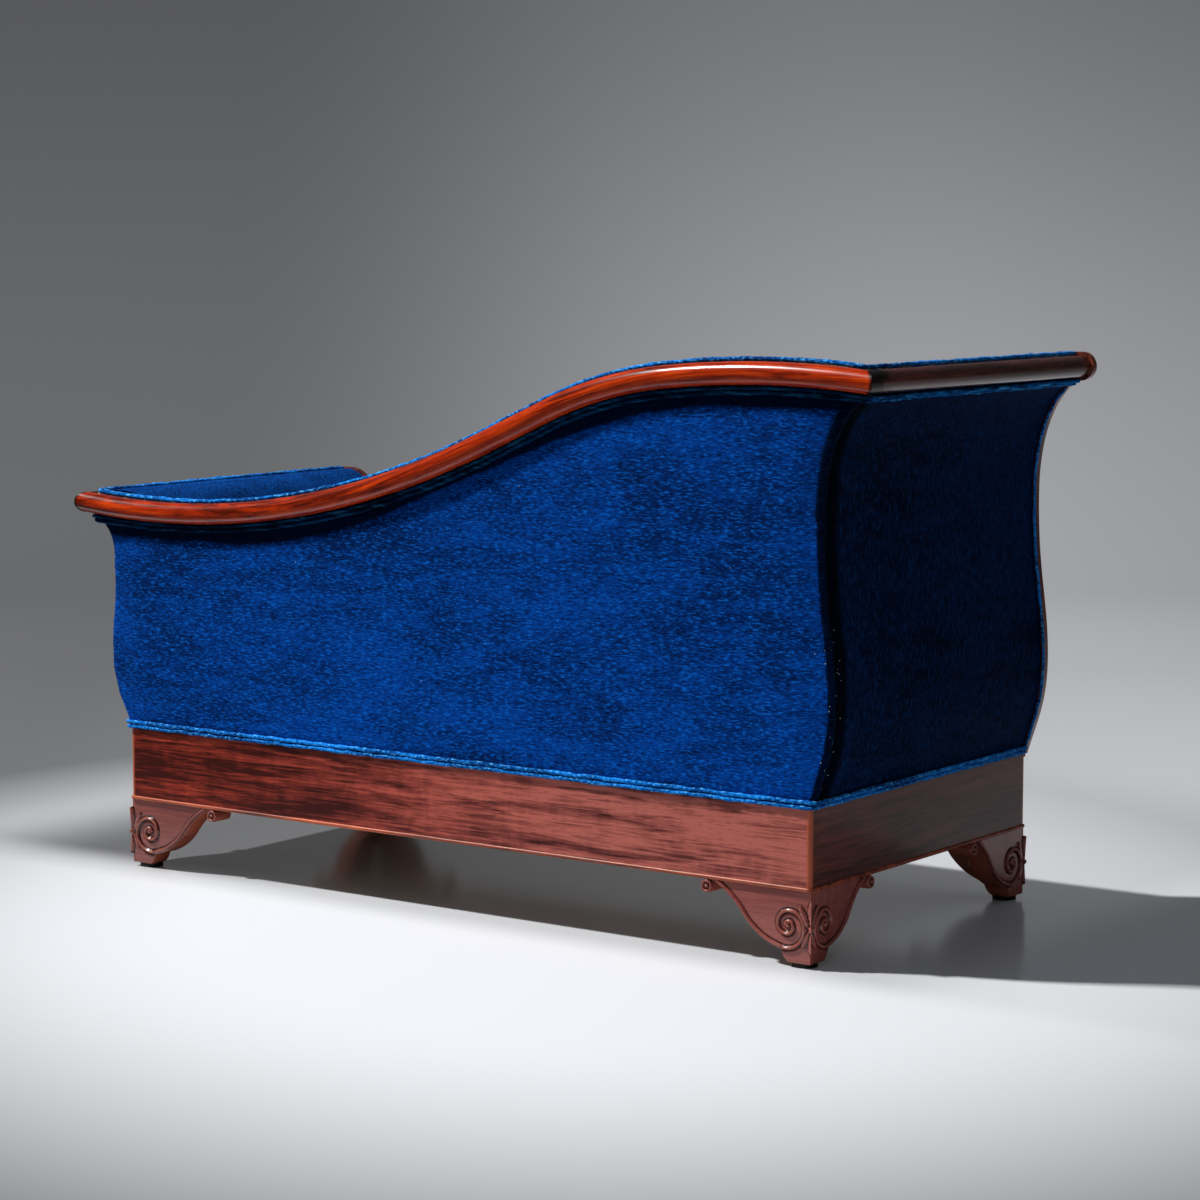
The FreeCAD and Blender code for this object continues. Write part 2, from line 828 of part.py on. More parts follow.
def make_back_posts():
    y0, y1 = back_y - back_frame_inner, back_y - frame_outer
    under = below_sweep(-crest_board_drop, y0, y1)
    posts = []
    for i, x in enumerate(post_places()):
        post = box(x - post_width / 2.0, x + post_width / 2.0, y0, y1, plinth_top, top_of_all)
        posts.append(post.common(under).fuse(tenon_of(("post", i))).removeSplitter())
    return group(posts)


def make_back_stuffing_rails():
    y0, y1 = back_y - back_frame_inner, back_y - frame_outer
    z0 = plinth_top + stuffing_rail_up
    space = back_frame_space(y0, y1)
    z1 = z0 + stuffing_rail_height
    rail = space.common(box(high.x(beyond), low.x(beyond), y0, y1, z0, z1))
    for x in post_places():
        rail = rail.cut(box(x - post_width / 2.0, x + post_width / 2.0, y0, y1, z0, z1))
    return group([rail])


# Show rails and their screws

def rail_section_edges(at):
    """A round with a flat on its inner side, from a function that places (out, up)."""
    half = math.sqrt(rail_radius ** 2 - rail_flat ** 2)
    top = at(-rail_flat, half)
    bottom = at(-rail_flat, -half)
    return [Part.Arc(top, at(rail_radius, 0.0), bottom).toShape(), line(bottom, top)]


def screw_places_end(end):
    y0 = facing_back_y
    y1 = back_y - back_frame_inner
    count = int((y1 - y0) // screw_spacing_ends) + 1
    step = (y1 - y0) / count
    return [y0 + step * (i + 0.5) for i in range(count)]


def screw_places_back():
    x0, x1 = high.x(high.waist_out - frame_inner), low.x(low.waist_out - frame_inner)
    count = int((x1 - x0) // screw_spacing_back) + 1
    step = (x1 - x0) / count
    return [x0 + step * (i + 0.5) for i in range(count)]


def screw(start, way, length, gap):
    """A screw with a sunk head, or its hole when a gap is given."""
    shank = rod(start, start + way * (length + gap), screw_radius + gap)
    head = rod(start, start + way * (screw_head_height + gap), screw_head_radius + gap)
    return shank.fuse(head).removeSplitter()


def end_screws(end, gap):
    start_out = end.lip_out - frame_inner
    length = end.overhang - rail_flat - start_out + screw_bite
    way = FreeCAD.Vector(end.side, 0, 0)
    screws = []
    for y in screw_places_end(end):
        start = FreeCAD.Vector(end.x(start_out), y, end.rail_height)
        screws.append(screw(start, way, length, gap))
    return screws


def back_screws(gap):
    length = frame_board + frame_outer + back_rail_overhang - rail_flat + screw_bite
    screws = []
    for x in screw_places_back():
        start = FreeCAD.Vector(x, back_y - back_frame_inner, axis_height(x))
        screws.append(screw(start, FreeCAD.Vector(0, 1, 0), length, gap))
    return screws


def screw_holes_end(end):
    return end_screws(end, hole_gap)


def screw_holes_back():
    return back_screws(hole_gap)


def make_rail_screws():
    screws = back_screws(0.0)
    for end in ends:
        screws += end_screws(end, 0.0)
    return group(screws)


def make_back_rail():
    def section(place):
        return rail_section_edges(lambda out, up: place(back_rail_overhang + out, up))
    return only_solid(swept(section).common(back_wedge()).cut(screw_holes_back()))


def make_end_rail(end):
    def at(out, up):
        return FreeCAD.Vector(end.x(end.overhang + out), 0, end.rail_height + up)
    face = edges_face(rail_section_edges(at))
    rail = along_y(face, facing_back_y, back_y + mitre_reach).common(rail_wedge(end))
    return only_solid(rail.cut(screw_holes_end(end)))


# Front facings and roundels

def facing_faces(end):
    """The S shaped front board in three overlapping faces: body, round end, and neck."""
    top = end.rail_height + roll_rise
    limit_out = end.overhang - roll_limit
    lip = end.point(end.lip_out + facing_proud, end.lip_z)
    crown = end.point(limit_out, top)
    edges = ogee_edges(end, -facing_proud) + roll_edges(end, 0.0)
    edges += [line(end.point(facing_proud, plinth_top), end.point(-end_wall_seat, plinth_top)),
              line(lip, crown)]
    centre = end.point(end.overhang, end.rail_height)
    round_end = Part.makeCircle(roundel_radius, centre, FreeCAD.Vector(0, 1, 0))
    neck = [crown, centre + FreeCAD.Vector(0, 0, roundel_radius), centre, lip]
    return [edges_face(edges), Part.Face(Part.Wire(round_end)), polygon_face(neck)]


def make_facing(end):
    y0 = front_y - facing_front
    solids = [along_y(face, y0, facing_back_y) for face in facing_faces(end)]
    board = only_solid(solids[0].fuse(solids[1:]).removeSplitter())
    shown = [edge for edge in board.Edges
             if all(abs(v.Point.y - y0) < touch for v in edge.Vertexes)
             and edge.CenterOfMass.z > plinth_top + touch]
    return board.makeFillet(facing_edge_radius, shown)


def make_roundel(end):
    y = front_y - facing_front
    centre = FreeCAD.Vector(end.x(end.overhang), y, end.rail_height)
    out = FreeCAD.Vector(0, -1, 0)
    disc = Part.makeCylinder(roundel_radius - facing_edge_radius, roundel_thickness, centre, out)
    boss = Part.makeCylinder(roundel_boss_radius, roundel_boss_height,
                             centre + out * roundel_thickness, out)
    return disc.fuse(boss).removeSplitter()


# Upholstery of the ends

def make_end_outer_cover(end):
    face = ogee_band(end, 0.0, outer_cover, end.lip_z)
    return along_y(face, facing_back_y, back_y - outer_cover - seat_gap)


def make_end_hessian(end):
    face = ogee_band(end, hessian_outer, hessian_outer + hessian, end.lip_z)
    return along_y(face, facing_back_y, back_y - back_pad_outer)


def end_pad_face(end, inset):
    return roll_region(end, inset).cut(frame_region(end, pad_outer))


def make_end_stuffing(end):
    pad = along_y(end_pad_face(end, inner_cover), facing_back_y, back_y + mitre_reach)
    return only_solid(pad.common(pad_wedge(end)))


def make_end_inner_cover(end):
    skin = roll_region(end, 0.0).cut(roll_region(end, inner_cover))
    cover = along_y(skin, facing_back_y, back_y + mitre_reach)
    return only_solid(cover.common(pad_wedge(end)))


# Upholstery of the back

def make_back_outer_cover():
    y0, y1 = back_y - outer_cover, back_y
    cover = between_ends(0.0, y0, y1).common(below_sweep(-rail_radius, y0, y1))
    return only_solid(cover)


def make_back_hessian():
    y0 = back_y - back_hessian_outer - hessian
    y1 = back_y - back_hessian_outer
    sheet = between_ends(pad_outer, y0, y1).common(below_sweep(-roll_setback, y0, y1))
    return only_solid(sheet)


def back_roll_section(inset, wall_out, past, place):
    """The rounded top of the back wall, whose hidden sides may reach past their limit."""
    centre_out = back_rail_overhang - roll_setback
    centre_up = roll_rise - roll_radius
    floor_up = crest_board_rise + seat_gap - past
    radius = roll_radius - inset
    half = math.sqrt(0.5) * radius
    limit = back_rail_overhang - roll_limit + past
    start = place(centre_out - radius, centre_up)
    crown = place(centre_out, centre_up + radius)
    middle = place(centre_out - half, centre_up + half)
    points = [crown, place(limit, centre_up + radius), place(limit, floor_up),
              place(wall_out, floor_up), place(wall_out, centre_up), start]
    edges = [Part.Arc(start, middle, crown).toShape()]
    edges += [line(a, b) for a, b in zip(points, points[1:])]
    return edges


def back_wall_solid(inset, wall_out, past):
    """The back's wall from the plinth up, with its rounded top swept along the rail."""
    roll = swept(lambda place: back_roll_section(inset, wall_out, past, place))
    y0 = back_y - back_wall + inset
    slab = below_sweep(roll_rise - roll_radius, y0, back_y + wall_out)
    return slab.fuse(roll).removeSplitter()


def back_pad_space():
    """The space between the ends' pads and the corner mitres, deeper than the wall."""
    space = between_ends(pad_outer, back_y - back_wall - mitre_reach, back_y)
    return space.common(back_wedge())


def make_back_stuffing():
    wall = back_wall_solid(inner_cover, -back_pad_outer, 0.0)
    return only_solid(wall.common(back_pad_space()))


def make_back_inner_cover():
    outer = back_wall_solid(0.0, -back_pad_outer, 0.0)
    inner = back_wall_solid(inner_cover, seat_gap - back_pad_outer, seat_gap)
    return only_solid(outer.cut(inner).common(back_pad_space()))


# Seat

def seat_x(end, room):
    """The inner face of an end beside the seat, less some room."""
    return end.x(-end_wall_seat - room)


def seat_front_y():
    return front_y + seat_front_inset


def seat_back_y():
    return back_y - back_wall


def make_webbing(along_length):
    z1 = plinth_bottom + ledger_up
    x0, x1 = high.x(-plinth_board), low.x(-plinth_board)
    y0, y1 = front_y + plinth_board, back_y - plinth_board
    straps = []
    if along_length:
        step = (y1 - y0) / webbing_long_count
        for i in range(webbing_long_count):
            y = y0 + step * (i + 0.5)
            straps.append(box(x0 + webbing_tuck, x1 - webbing_tuck, y - webbing_width / 2.0,
                              y + webbing_width / 2.0, z1 - webbing_thickness, z1))
        return group(straps)
    z1 -= webbing_thickness
    step = (x1 - x0) / webbing_cross_count
    for i in range(webbing_cross_count):
        x = x0 + step * (i + 0.5)
        straps.append(box(x - webbing_width / 2.0, x + webbing_width / 2.0, y0 + webbing_tuck,
                          y1 - webbing_tuck, z1 - webbing_thickness, z1))
    return group(straps)


def biarc(start, start_way, end, end_way):
    """Two arcs that join two points and share a tangent where they meet."""
    gap = end - start
    both = start_way + end_way
    bend = 2.0 * (1.0 - start_way.dot(end_way))
    reach = (-gap.dot(both) + math.sqrt(gap.dot(both) ** 2 + bend * gap.dot(gap))) / bend
    middle = (start + end + (start_way - end_way) * reach) * 0.5
    return [tangent_arc(start, start_way, middle), tangent_arc(end, end_way * -1.0, middle)]


def tangent_arc(start, way, end):
    """The arc that leaves a point in a direction and reaches another point."""
    chord = end - start
    half = chord.Length / 2.0
    chord.normalize()
    across = way - chord * way.dot(chord)
    turn = math.atan2(across.Length, way.dot(chord))
    across.normalize()
    middle = (start + end) * 0.5 + across * (half * math.tan(turn / 2.0))
    return Part.Arc(start, middle, end).toShape()


def make_spring(centre, height):
    """A seat spring: a round wire wound up from the webbing."""
    steps = spring_turns * spring_biarcs_per_turn
    rise = (height - 2.0 * spring_wire_radius) / steps
    turn = 2.0 * math.pi / spring_biarcs_per_turn
    points, ways = [], []
    for i in range(steps + 1):
        angle = turn * i
        points.append(centre + FreeCAD.Vector(spring_coil_radius * math.cos(angle),
                                              spring_coil_radius * math.sin(angle),
                                              spring_wire_radius + rise * i))
        way = FreeCAD.Vector(-spring_coil_radius * math.sin(angle) * turn,
                             spring_coil_radius * math.cos(angle) * turn, rise)
        ways.append(way.normalize())
    edges = []
    for i in range(steps):
        edges += biarc(points[i], ways[i], points[i + 1], ways[i + 1])
    path = Part.Wire(Part.__sortEdges__(edges))
    circle = Part.Wire(Part.makeCircle(spring_wire_radius, points[0], ways[0]))
    return path.makePipeShell([circle], True, False)


def make_springs():
    z0 = plinth_bottom + ledger_up + seat_gap
    height = plinth_top - z0
    x0, x1 = seat_x(high, 0.0), seat_x(low, 0.0)
    y0, y1 = front_y + plinth_board + ledger_side, back_y - plinth_board - ledger_side
    springs = []
    for column in range(spring_columns):
        for row in range(spring_rows):
            x = x0 + (x1 - x0) * (column + 0.5) / spring_columns
            y = y0 + (y1 - y0) * (row + 0.5) / spring_rows
            springs.append(make_spring(FreeCAD.Vector(x, y, z0), height))
    pitch = (height - 2.0 * spring_wire_radius) / spring_turns
    print("seat springs: turn to turn gap %.2f" % (pitch - 2.0 * spring_wire_radius))
    return group(springs)


def make_seat_hessian():
    z0 = plinth_top + seat_gap
    return box(seat_x(high, seat_gap), seat_x(low, seat_gap), seat_front_y() + inner_cover + seat_gap,
               seat_back_y() - seat_gap, z0, z0 + hessian)


def deck_block(inset):
    """The fixed seat under the squab, less an inset on its top and front."""
    z0 = plinth_top + seat_gap + (hessian + seat_gap if inset else 0.0)
    block = box(seat_x(high, seat_gap), seat_x(low, seat_gap), seat_front_y() + inset,
                seat_back_y() - seat_gap, z0, plinth_top + deck_height - inset)
    front_top = [edge for edge in block.Edges
                 if abs(edge.BoundBox.YMax - block.BoundBox.YMin) < touch
                 and abs(edge.BoundBox.ZMin - block.BoundBox.ZMax) < touch]
    return block.makeFillet(deck_edge_radius - inset, front_top)


def make_seat_stuffing():
    return deck_block(inner_cover)


def make_seat_cover():
    """The top and front skin of the fixed seat; its underside stays open."""
    under = box(seat_x(high, 0.0), seat_x(low, 0.0), seat_front_y() + inner_cover, seat_back_y(),
                plinth_top, plinth_top + deck_height - deck_edge_radius)
    return only_solid(deck_block(0.0).cut(deck_block(inner_cover)).cut(under))


# Loose squab

def squab_outline(inset, radius):
    """The squab's plan: four sides that draw in a little between round corners."""
    side = squab_side_room + 2.0 * piping_radius + inset
    x0, x1 = seat_x(high, side), seat_x(low, side)
    y0 = seat_front_y() + 2.0 * piping_radius + inset
    y1 = seat_back_y() - side
    z0 = plinth_top + deck_height + seat_gap + inset
    corners = [FreeCAD.Vector(x, y, z0) for x, y in ((x0, y0), (x1, y0), (x1, y1), (x0, y1))]
    sides = []
    for a, b in zip(corners, corners[1:] + corners[:1]):
        way = (b - a).normalize()
        inward = FreeCAD.Vector(-way.y, way.x, 0)
        sides.append(arc_with_sag(a + way * radius, b - way * radius, squab_draw_in, inward))
    edges = list(sides)
    for side, after in zip(sides, sides[1:] + sides[:1]):
        edges += biarc(side.valueAt(side.LastParameter), side.tangentAt(side.LastParameter),
                       after.valueAt(after.FirstParameter), after.tangentAt(after.FirstParameter))
    return Part.Wire(Part.__sortEdges__(edges))


def crown_face(a, b, z0, rim, crown):
    """An upright face over the line a to b whose top edge is a shallow arc."""
    low_a, low_b = FreeCAD.Vector(a.x, a.y, z0), FreeCAD.Vector(b.x, b.y, z0)
    top_a, top_b = FreeCAD.Vector(a.x, a.y, rim), FreeCAD.Vector(b.x, b.y, rim)
    middle = (top_a + top_b) * 0.5
    middle.z = crown
    arc = Part.Arc(top_a, middle, top_b).toShape()
    return Part.Face(Part.Wire([arc, line(top_b, low_b), line(low_b, low_a), line(low_a, top_a)]))


def squab_block(inset):
    """The squab's body: drawn-in sides, rounded lower edge, and a crown both ways."""
    plan = Part.Face(squab_outline(inset, squab_corner_radius - inset))
    bounds = plan.BoundBox
    z0 = bounds.ZMin
    crown = z0 + squab_thickness - 2.0 * inset
    rim = crown - squab_crown
    block = plan.extrude(FreeCAD.Vector(0, 0, squab_thickness))
    lower = [edge for edge in block.Edges if abs(edge.CenterOfMass.z - z0) < touch]
    block = block.makeFillet(squab_edge_radius - inset, lower)
    past = squab_corner_radius
    front_a = FreeCAD.Vector(bounds.XMin - past, bounds.YMin - past, 0)
    front_b = FreeCAD.Vector(bounds.XMax + past, bounds.YMin - past, 0)
    back_a = FreeCAD.Vector(bounds.XMin - past, bounds.YMax + past, 0)
    along = crown_face(front_a, front_b, z0, rim, crown).extrude(back_a - front_a)
    across = crown_face(front_a, back_a, z0, rim, crown).extrude(front_b - front_a)
    return only_solid(block.common(along.common(across)))


def make_squab_core():
    return squab_block(inner_cover + seat_gap)


def make_squab_cover():
    return only_solid(squab_block(0.0).cut(squab_block(inner_cover)))


def piping_loop(z):
    """A cord round the squab at a level, against its side."""
    path = squab_outline(-piping_radius - seat_gap, squab_corner_radius + piping_radius)
    path.translate(FreeCAD.Vector(0, 0, z - path.BoundBox.ZMin))
    first = path.OrderedEdges[0]
    start = first.valueAt(first.FirstParameter)
    circle = Part.makeCircle(piping_radius, start, first.tangentAt(first.FirstParameter))
    return path.makePipeShell([Part.Wire(circle)], True, False)


def make_squab_piping():
    z0 = plinth_top + deck_height + seat_gap
    rim = z0 + squab_thickness - squab_crown
    return group([piping_loop(z0 + squab_edge_radius), piping_loop(rim - piping_rim_drop)])


# Double welts

def end_welt_edge(end, out, z, radius):
    """A straight cord along an end, from the facing to the corner mitre."""
    cord = rod(FreeCAD.Vector(end.x(out), facing_back_y, z),
               FreeCAD.Vector(end.x(out), back_y + mitre_reach, z), radius)
    return cord.common(rail_wedge(end))


def lip_welt_spots(end):
    """The two cords under an end's rail, resting on the flared cover."""
    run = FreeCAD.Vector(lip_reach, lip_rise, 0).normalize()
    off = FreeCAD.Vector(run.y, -run.x, 0) * (welt_radius + seat_gap)
    lip = FreeCAD.Vector(end.lip_out, end.lip_z, 0)
    first = lip + off
    return [first, first - run * welt_step + off.normalize() * lip_welt_ease]


def back_welt(out, up):
    def section(place):
        return [Part.makeCircle(welt_radius, place(out, up), section_way(place))]
    return swept(section)


def section_way(place):
    """The direction of the rail at a section's place."""
    up = place(0.0, 1.0) - place(0.0, 0.0)
    return FreeCAD.Vector(-up.z, 0, up.x)


def make_welt_over_rails():
    cords = []
    for i in range(2):
        inward = over_welt_in + welt_step * i
        cord = back_welt(back_rail_overhang - inward, over_welt_up)
        cords.append(only_solid(cord.common(back_wedge())))
        for end in ends:
            cords.append(end_welt_edge(end, end.overhang - inward,
                                       end.rail_height + over_welt_up, welt_radius))
    return group(cords)


def make_welt_under_rails():
    cords = []
    for i in range(2):
        down = under_welt_down + welt_step * i
        short = (down - lip_drop) * lip_reach / lip_rise
        reach_x = [end.x(end.lip_out - short) for end in ends]
        span = box(reach_x[0], reach_x[1], back_y, back_y + back_reach, plinth_top, top_of_all)
        cords.append(only_solid(back_welt(welt_off, -down).common(span)))
    for end in ends:
        for spot in lip_welt_spots(end):
            start = FreeCAD.Vector(end.x(spot.x), facing_back_y, spot.y)
            cords.append(rod(start, FreeCAD.Vector(start.x, back_y, spot.y), welt_radius))
    return group(cords)


def plinth_welt_spots(end):
    """The two cords at the foot of an end's cover, as distance out and height."""
    slope = end.belly_out * start_out_share / ((end.belly_z - plinth_top) * start_up_share)
    lean = math.hypot(1.0, slope)
    first = FreeCAD.Vector(slope * welt_off + welt_off * lean, plinth_top + welt_off, 0)
    return [first, first + FreeCAD.Vector(slope, 1.0, 0) * (welt_step / lean)]


def make_welt_plinth():
    """Two cords round the foot of the covers, on the plinth's top edge."""
    cords = []
    for end in ends:
        for spot in plinth_welt_spots(end):
            start = FreeCAD.Vector(end.x(spot.x), facing_back_y, spot.y)
            cords.append(rod(start, FreeCAD.Vector(start.x, back_y, spot.y), welt_radius))
    for i in range(2):
        z = plinth_top + welt_off + welt_step * i
        for y, x0, x1 in ((back_y + welt_off, high.x(welt_off), low.x(welt_off)),
                          (seat_front_y() - welt_off, seat_x(high, 0.0), seat_x(low, 0.0))):
            cords.append(rod(FreeCAD.Vector(x0, y, z), FreeCAD.Vector(x1, y, z), welt_radius))
    return group(cords)


def make_welt_facings():
    """One cord beside each facing, lying on the end's outer cover."""
    cords = []
    y = facing_back_y + facing_welt_radius + seat_gap
    for end in ends:
        path = Part.Wire(ogee_edges(end, -facing_welt_out))
        path.translate(FreeCAD.Vector(0, y, 0))
        start = path.Edges[0]
        centre = start.valueAt(start.FirstParameter)
        circle = Part.makeCircle(facing_welt_radius, centre, start.tangentAt(start.FirstParameter))
        cord = path.makePipeShell([Part.Wire(circle)], True, False)
        z0 = plinth_welt_spots(end)[1].y + welt_radius + seat_gap
        z1 = end.lip_z - facing_welt_stop
        cords.append(cord.common(box(end.x(-beyond), end.x(beyond), front_y, back_y, z0, z1)))
    return group(cords)


def export(name, shape):
    shape.exportStep("parts/%s.step" % name)
    volume = sum(solid.Volume for solid in shape.Solids)
    print("%-26s %3d solids %12.0f mm3 %s" % (name, len(shape.Solids), volume, shape.isValid()))


def main():
    os.makedirs("parts", exist_ok=True)
    export("plinth_back_board", make_plinth_board(0, 1))
    export("plinth_front_board", make_plinth_board(0, -1))
    export("plinth_high_board", make_plinth_board(-1, 0))
    export("plinth_low_board", make_plinth_board(1, 0))
    export("plinth_beads", make_plinth_beads())
    export("corner_blocks", make_corner_blocks())
    export("seat_ledgers", make_seat_ledgers())
    for end in ends:
        for way, place in ((1, "back"), (-1, "front")):
            export("bracket_foot_%s_%s" % (end.name, place), make_foot(end, way))
            export("%s_%s_upright" % (end.name, place), make_upright(end, way))
        export("%s_crest_board" % end.name, make_crest_board(end))
        export("%s_stuffing_rail" % end.name, make_stuffing_rail(end))
        export("%s_rail" % end.name, make_end_rail(end))
        export("%s_facing" % end.name, make_facing(end))
        export("%s_roundel" % end.name, make_roundel(end))
        export("%s_outer_cover" % end.name, make_end_outer_cover(end))
        export("%s_hessian" % end.name, make_end_hessian(end))
        export("%s_stuffing" % end.name, make_end_stuffing(end))
        export("%s_inner_cover" % end.name, make_end_inner_cover(end))
    export("foot_glue_blocks", make_foot_blocks())
    export("glides", make_glides())
    export("back_crest_board", make_back_crest_board())
    export("back_posts", make_back_posts())
    export("back_stuffing_rails", make_back_stuffing_rails())
    export("back_rail", make_back_rail())
    export("rail_screws", make_rail_screws())
    export("back_outer_cover", make_back_outer_cover())
    export("back_hessian", make_back_hessian())
    export("back_stuffing", make_back_stuffing())
    export("back_inner_cover", make_back_inner_cover())
    export("seat_webbing_long", make_webbing(True))
    export("seat_webbing_cross", make_webbing(False))
    export("seat_springs", make_springs())
    export("seat_hessian", make_seat_hessian())
    export("seat_stuffing", make_seat_stuffing())
    export("seat_cover", make_seat_cover())
    export("squab_core", make_squab_core())
    export("squab_cover", make_squab_cover())
    export("squab_piping", make_squab_piping())
    export("welt_over_rails", make_welt_over_rails())
    export("welt_under_rails", make_welt_under_rails())
    export("welt_plinth", make_welt_plinth())
    export("welt_facings", make_welt_facings())


main()
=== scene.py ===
import logging
import math
from dataclasses import dataclass, field
from enum import Enum
from typing import Any, Callable, Iterable, Sequence

import bmesh
import bpy
import numpy as np
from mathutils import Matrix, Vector
from mathutils.bvhtree import BVHTree


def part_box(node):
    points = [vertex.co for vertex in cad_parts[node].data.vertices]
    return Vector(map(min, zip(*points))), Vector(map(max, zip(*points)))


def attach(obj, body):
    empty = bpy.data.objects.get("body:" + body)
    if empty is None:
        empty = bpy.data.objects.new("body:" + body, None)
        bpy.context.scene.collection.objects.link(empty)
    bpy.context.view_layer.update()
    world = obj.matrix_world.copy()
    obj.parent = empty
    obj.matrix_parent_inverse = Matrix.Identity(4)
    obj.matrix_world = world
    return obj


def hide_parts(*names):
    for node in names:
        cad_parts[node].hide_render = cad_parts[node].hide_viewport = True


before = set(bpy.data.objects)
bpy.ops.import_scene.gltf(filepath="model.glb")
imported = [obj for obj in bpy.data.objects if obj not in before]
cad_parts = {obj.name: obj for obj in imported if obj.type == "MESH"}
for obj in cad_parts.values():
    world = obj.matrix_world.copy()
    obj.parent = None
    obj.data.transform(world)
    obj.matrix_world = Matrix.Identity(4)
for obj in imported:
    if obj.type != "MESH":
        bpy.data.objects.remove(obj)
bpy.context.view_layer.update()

log = logging.getLogger("day_bed")

MM = 0.001
Colour = tuple[float, float, float]
Triple = tuple[float, float, float]
Points = np.ndarray


# Shader graphs

class Sock:
    """A node's output, or a number, that Python's operators turn into Math nodes."""

    def __init__(self, graph: "Graph", value: Any) -> None:
        """Keeps the graph that new Math nodes go into, and the socket or number."""
        self.graph = graph
        self.value = value

    def maths(self, operation: str, other: Any = None, swap: bool = False) -> "Sock":
        """Adds one Math node.

        Args:
            operation: the Math node's operation.
            other: the second value, if the operation takes one.
            swap: puts the other value first.

        Returns:
            The node's result.
        """
        values = [self] if other is None else [self, other]
        if swap:
            values.reverse()
        sockets = dict(enumerate(values))
        return self.graph.node("ShaderNodeMath", {"operation": operation}, sockets)

    def __add__(self, other: Any) -> "Sock":
        """Sum."""
        return self.maths("ADD", other)

    def __sub__(self, other: Any) -> "Sock":
        """Difference."""
        return self.maths("SUBTRACT", other)

    def __rsub__(self, other: Any) -> "Sock":
        """Difference, the other way round."""
        return self.maths("SUBTRACT", other, swap=True)

    def __mul__(self, other: Any) -> "Sock":
        """Product."""
        return self.maths("MULTIPLY", other)

    def __abs__(self) -> "Sock":
        """Size without the sign."""
        return self.maths("ABSOLUTE")

    def __gt__(self, other: Any) -> "Sock":
        """One where this is greater."""
        return self.maths("GREATER_THAN", other)

    __radd__ = __add__
    __rmul__ = __mul__

    def step(self, low: float, high: float) -> "Sock":
        """A smooth step.

        Args:
            low: the value at which the result starts to leave 0 (or 1, if low > high).
            high: the value at which the result is full.

        Returns:
            A value from 0 to 1.
        """
        flip = low > high
        settings = {"interpolation_type": "SMOOTHSTEP", "clamp": True}
        sockets = {"Value": self, "From Min": min(low, high), "From Max": max(low, high)}
        risen = self.graph.node("ShaderNodeMapRange", settings, sockets)
        return 1.0 - risen if flip else risen


class Graph:
    """A node tree, and the ways its nodes are added."""

    def __init__(self, tree: bpy.types.NodeTree) -> None:
        """Empties the tree."""
        self.tree = tree
        self.tree.nodes.clear()

    def link(self, value: Any, socket: bpy.types.NodeSocket) -> None:
        """Feeds a socket from a link, or gives it a plain value."""
        if isinstance(value, Sock):
            value = value.value
        if isinstance(value, bpy.types.NodeSocket):
            self.tree.links.new(value, socket)
        elif socket.type == "RGBA" and len(value) == 3:
            socket.default_value = (*value, 1.0)
        else:
            socket.default_value = value

    def node(self, kind: str, settings: dict[str, Any], sockets: dict[Any, Any],
             result: Any = None) -> Sock:
        """Adds a node.

        Args:
            kind: the node's type.
            settings: its settings, which are set first.
            sockets: values or links of its inputs, by name or number.
            result: the output that is wanted, the first enabled one if None.

        Returns:
            The output, ready for more maths.
        """
        node = self.tree.nodes.new(kind)
        for name, value in settings.items():
            if name == "stops":
                self.set_stops(node.color_ramp, value)
            else:
                setattr(node, name, value)
        for key, value in sockets.items():
            self.link(value, self.socket(node.inputs, key))
        shown = [output for output in node.outputs if output.enabled] or [None]
        return Sock(self, shown[0] if result is None else node.outputs[result])

    @staticmethod
    def socket(inputs: Any, key: Any) -> bpy.types.NodeSocket:
        """The input by number, or the enabled input of that name."""
        if isinstance(key, int):
            return inputs[key]
        return next(item for item in inputs if item.name == key and item.enabled)

    @staticmethod
    def set_stops(ramp: Any, stops: Sequence[tuple[float, Colour]]) -> None:
        """Gives a colour ramp its stops."""
        while len(ramp.elements) < len(stops):
            ramp.elements.new(1.0)
        for element, (position, colour) in zip(ramp.elements, stops):
            element.position = position
            element.color = (*colour, 1.0)

    def mix(self, share: Any, first: Any, second: Any, way: str = "MIX") -> Sock:
        """Two colours, mixed by a share."""
        settings = {"data_type": "RGBA", "blend_type": way, "clamp_factor": True}
        return self.node("ShaderNodeMix", settings,
                         {"Factor": share, "A": first, "B": second})

    def ramp(self, value: Sock, stops: Sequence[tuple[float, Colour]]) -> Sock:
        """Colours along a value."""
        return self.node("ShaderNodeValToRGB", {"stops": stops}, {0: value}, "Color")


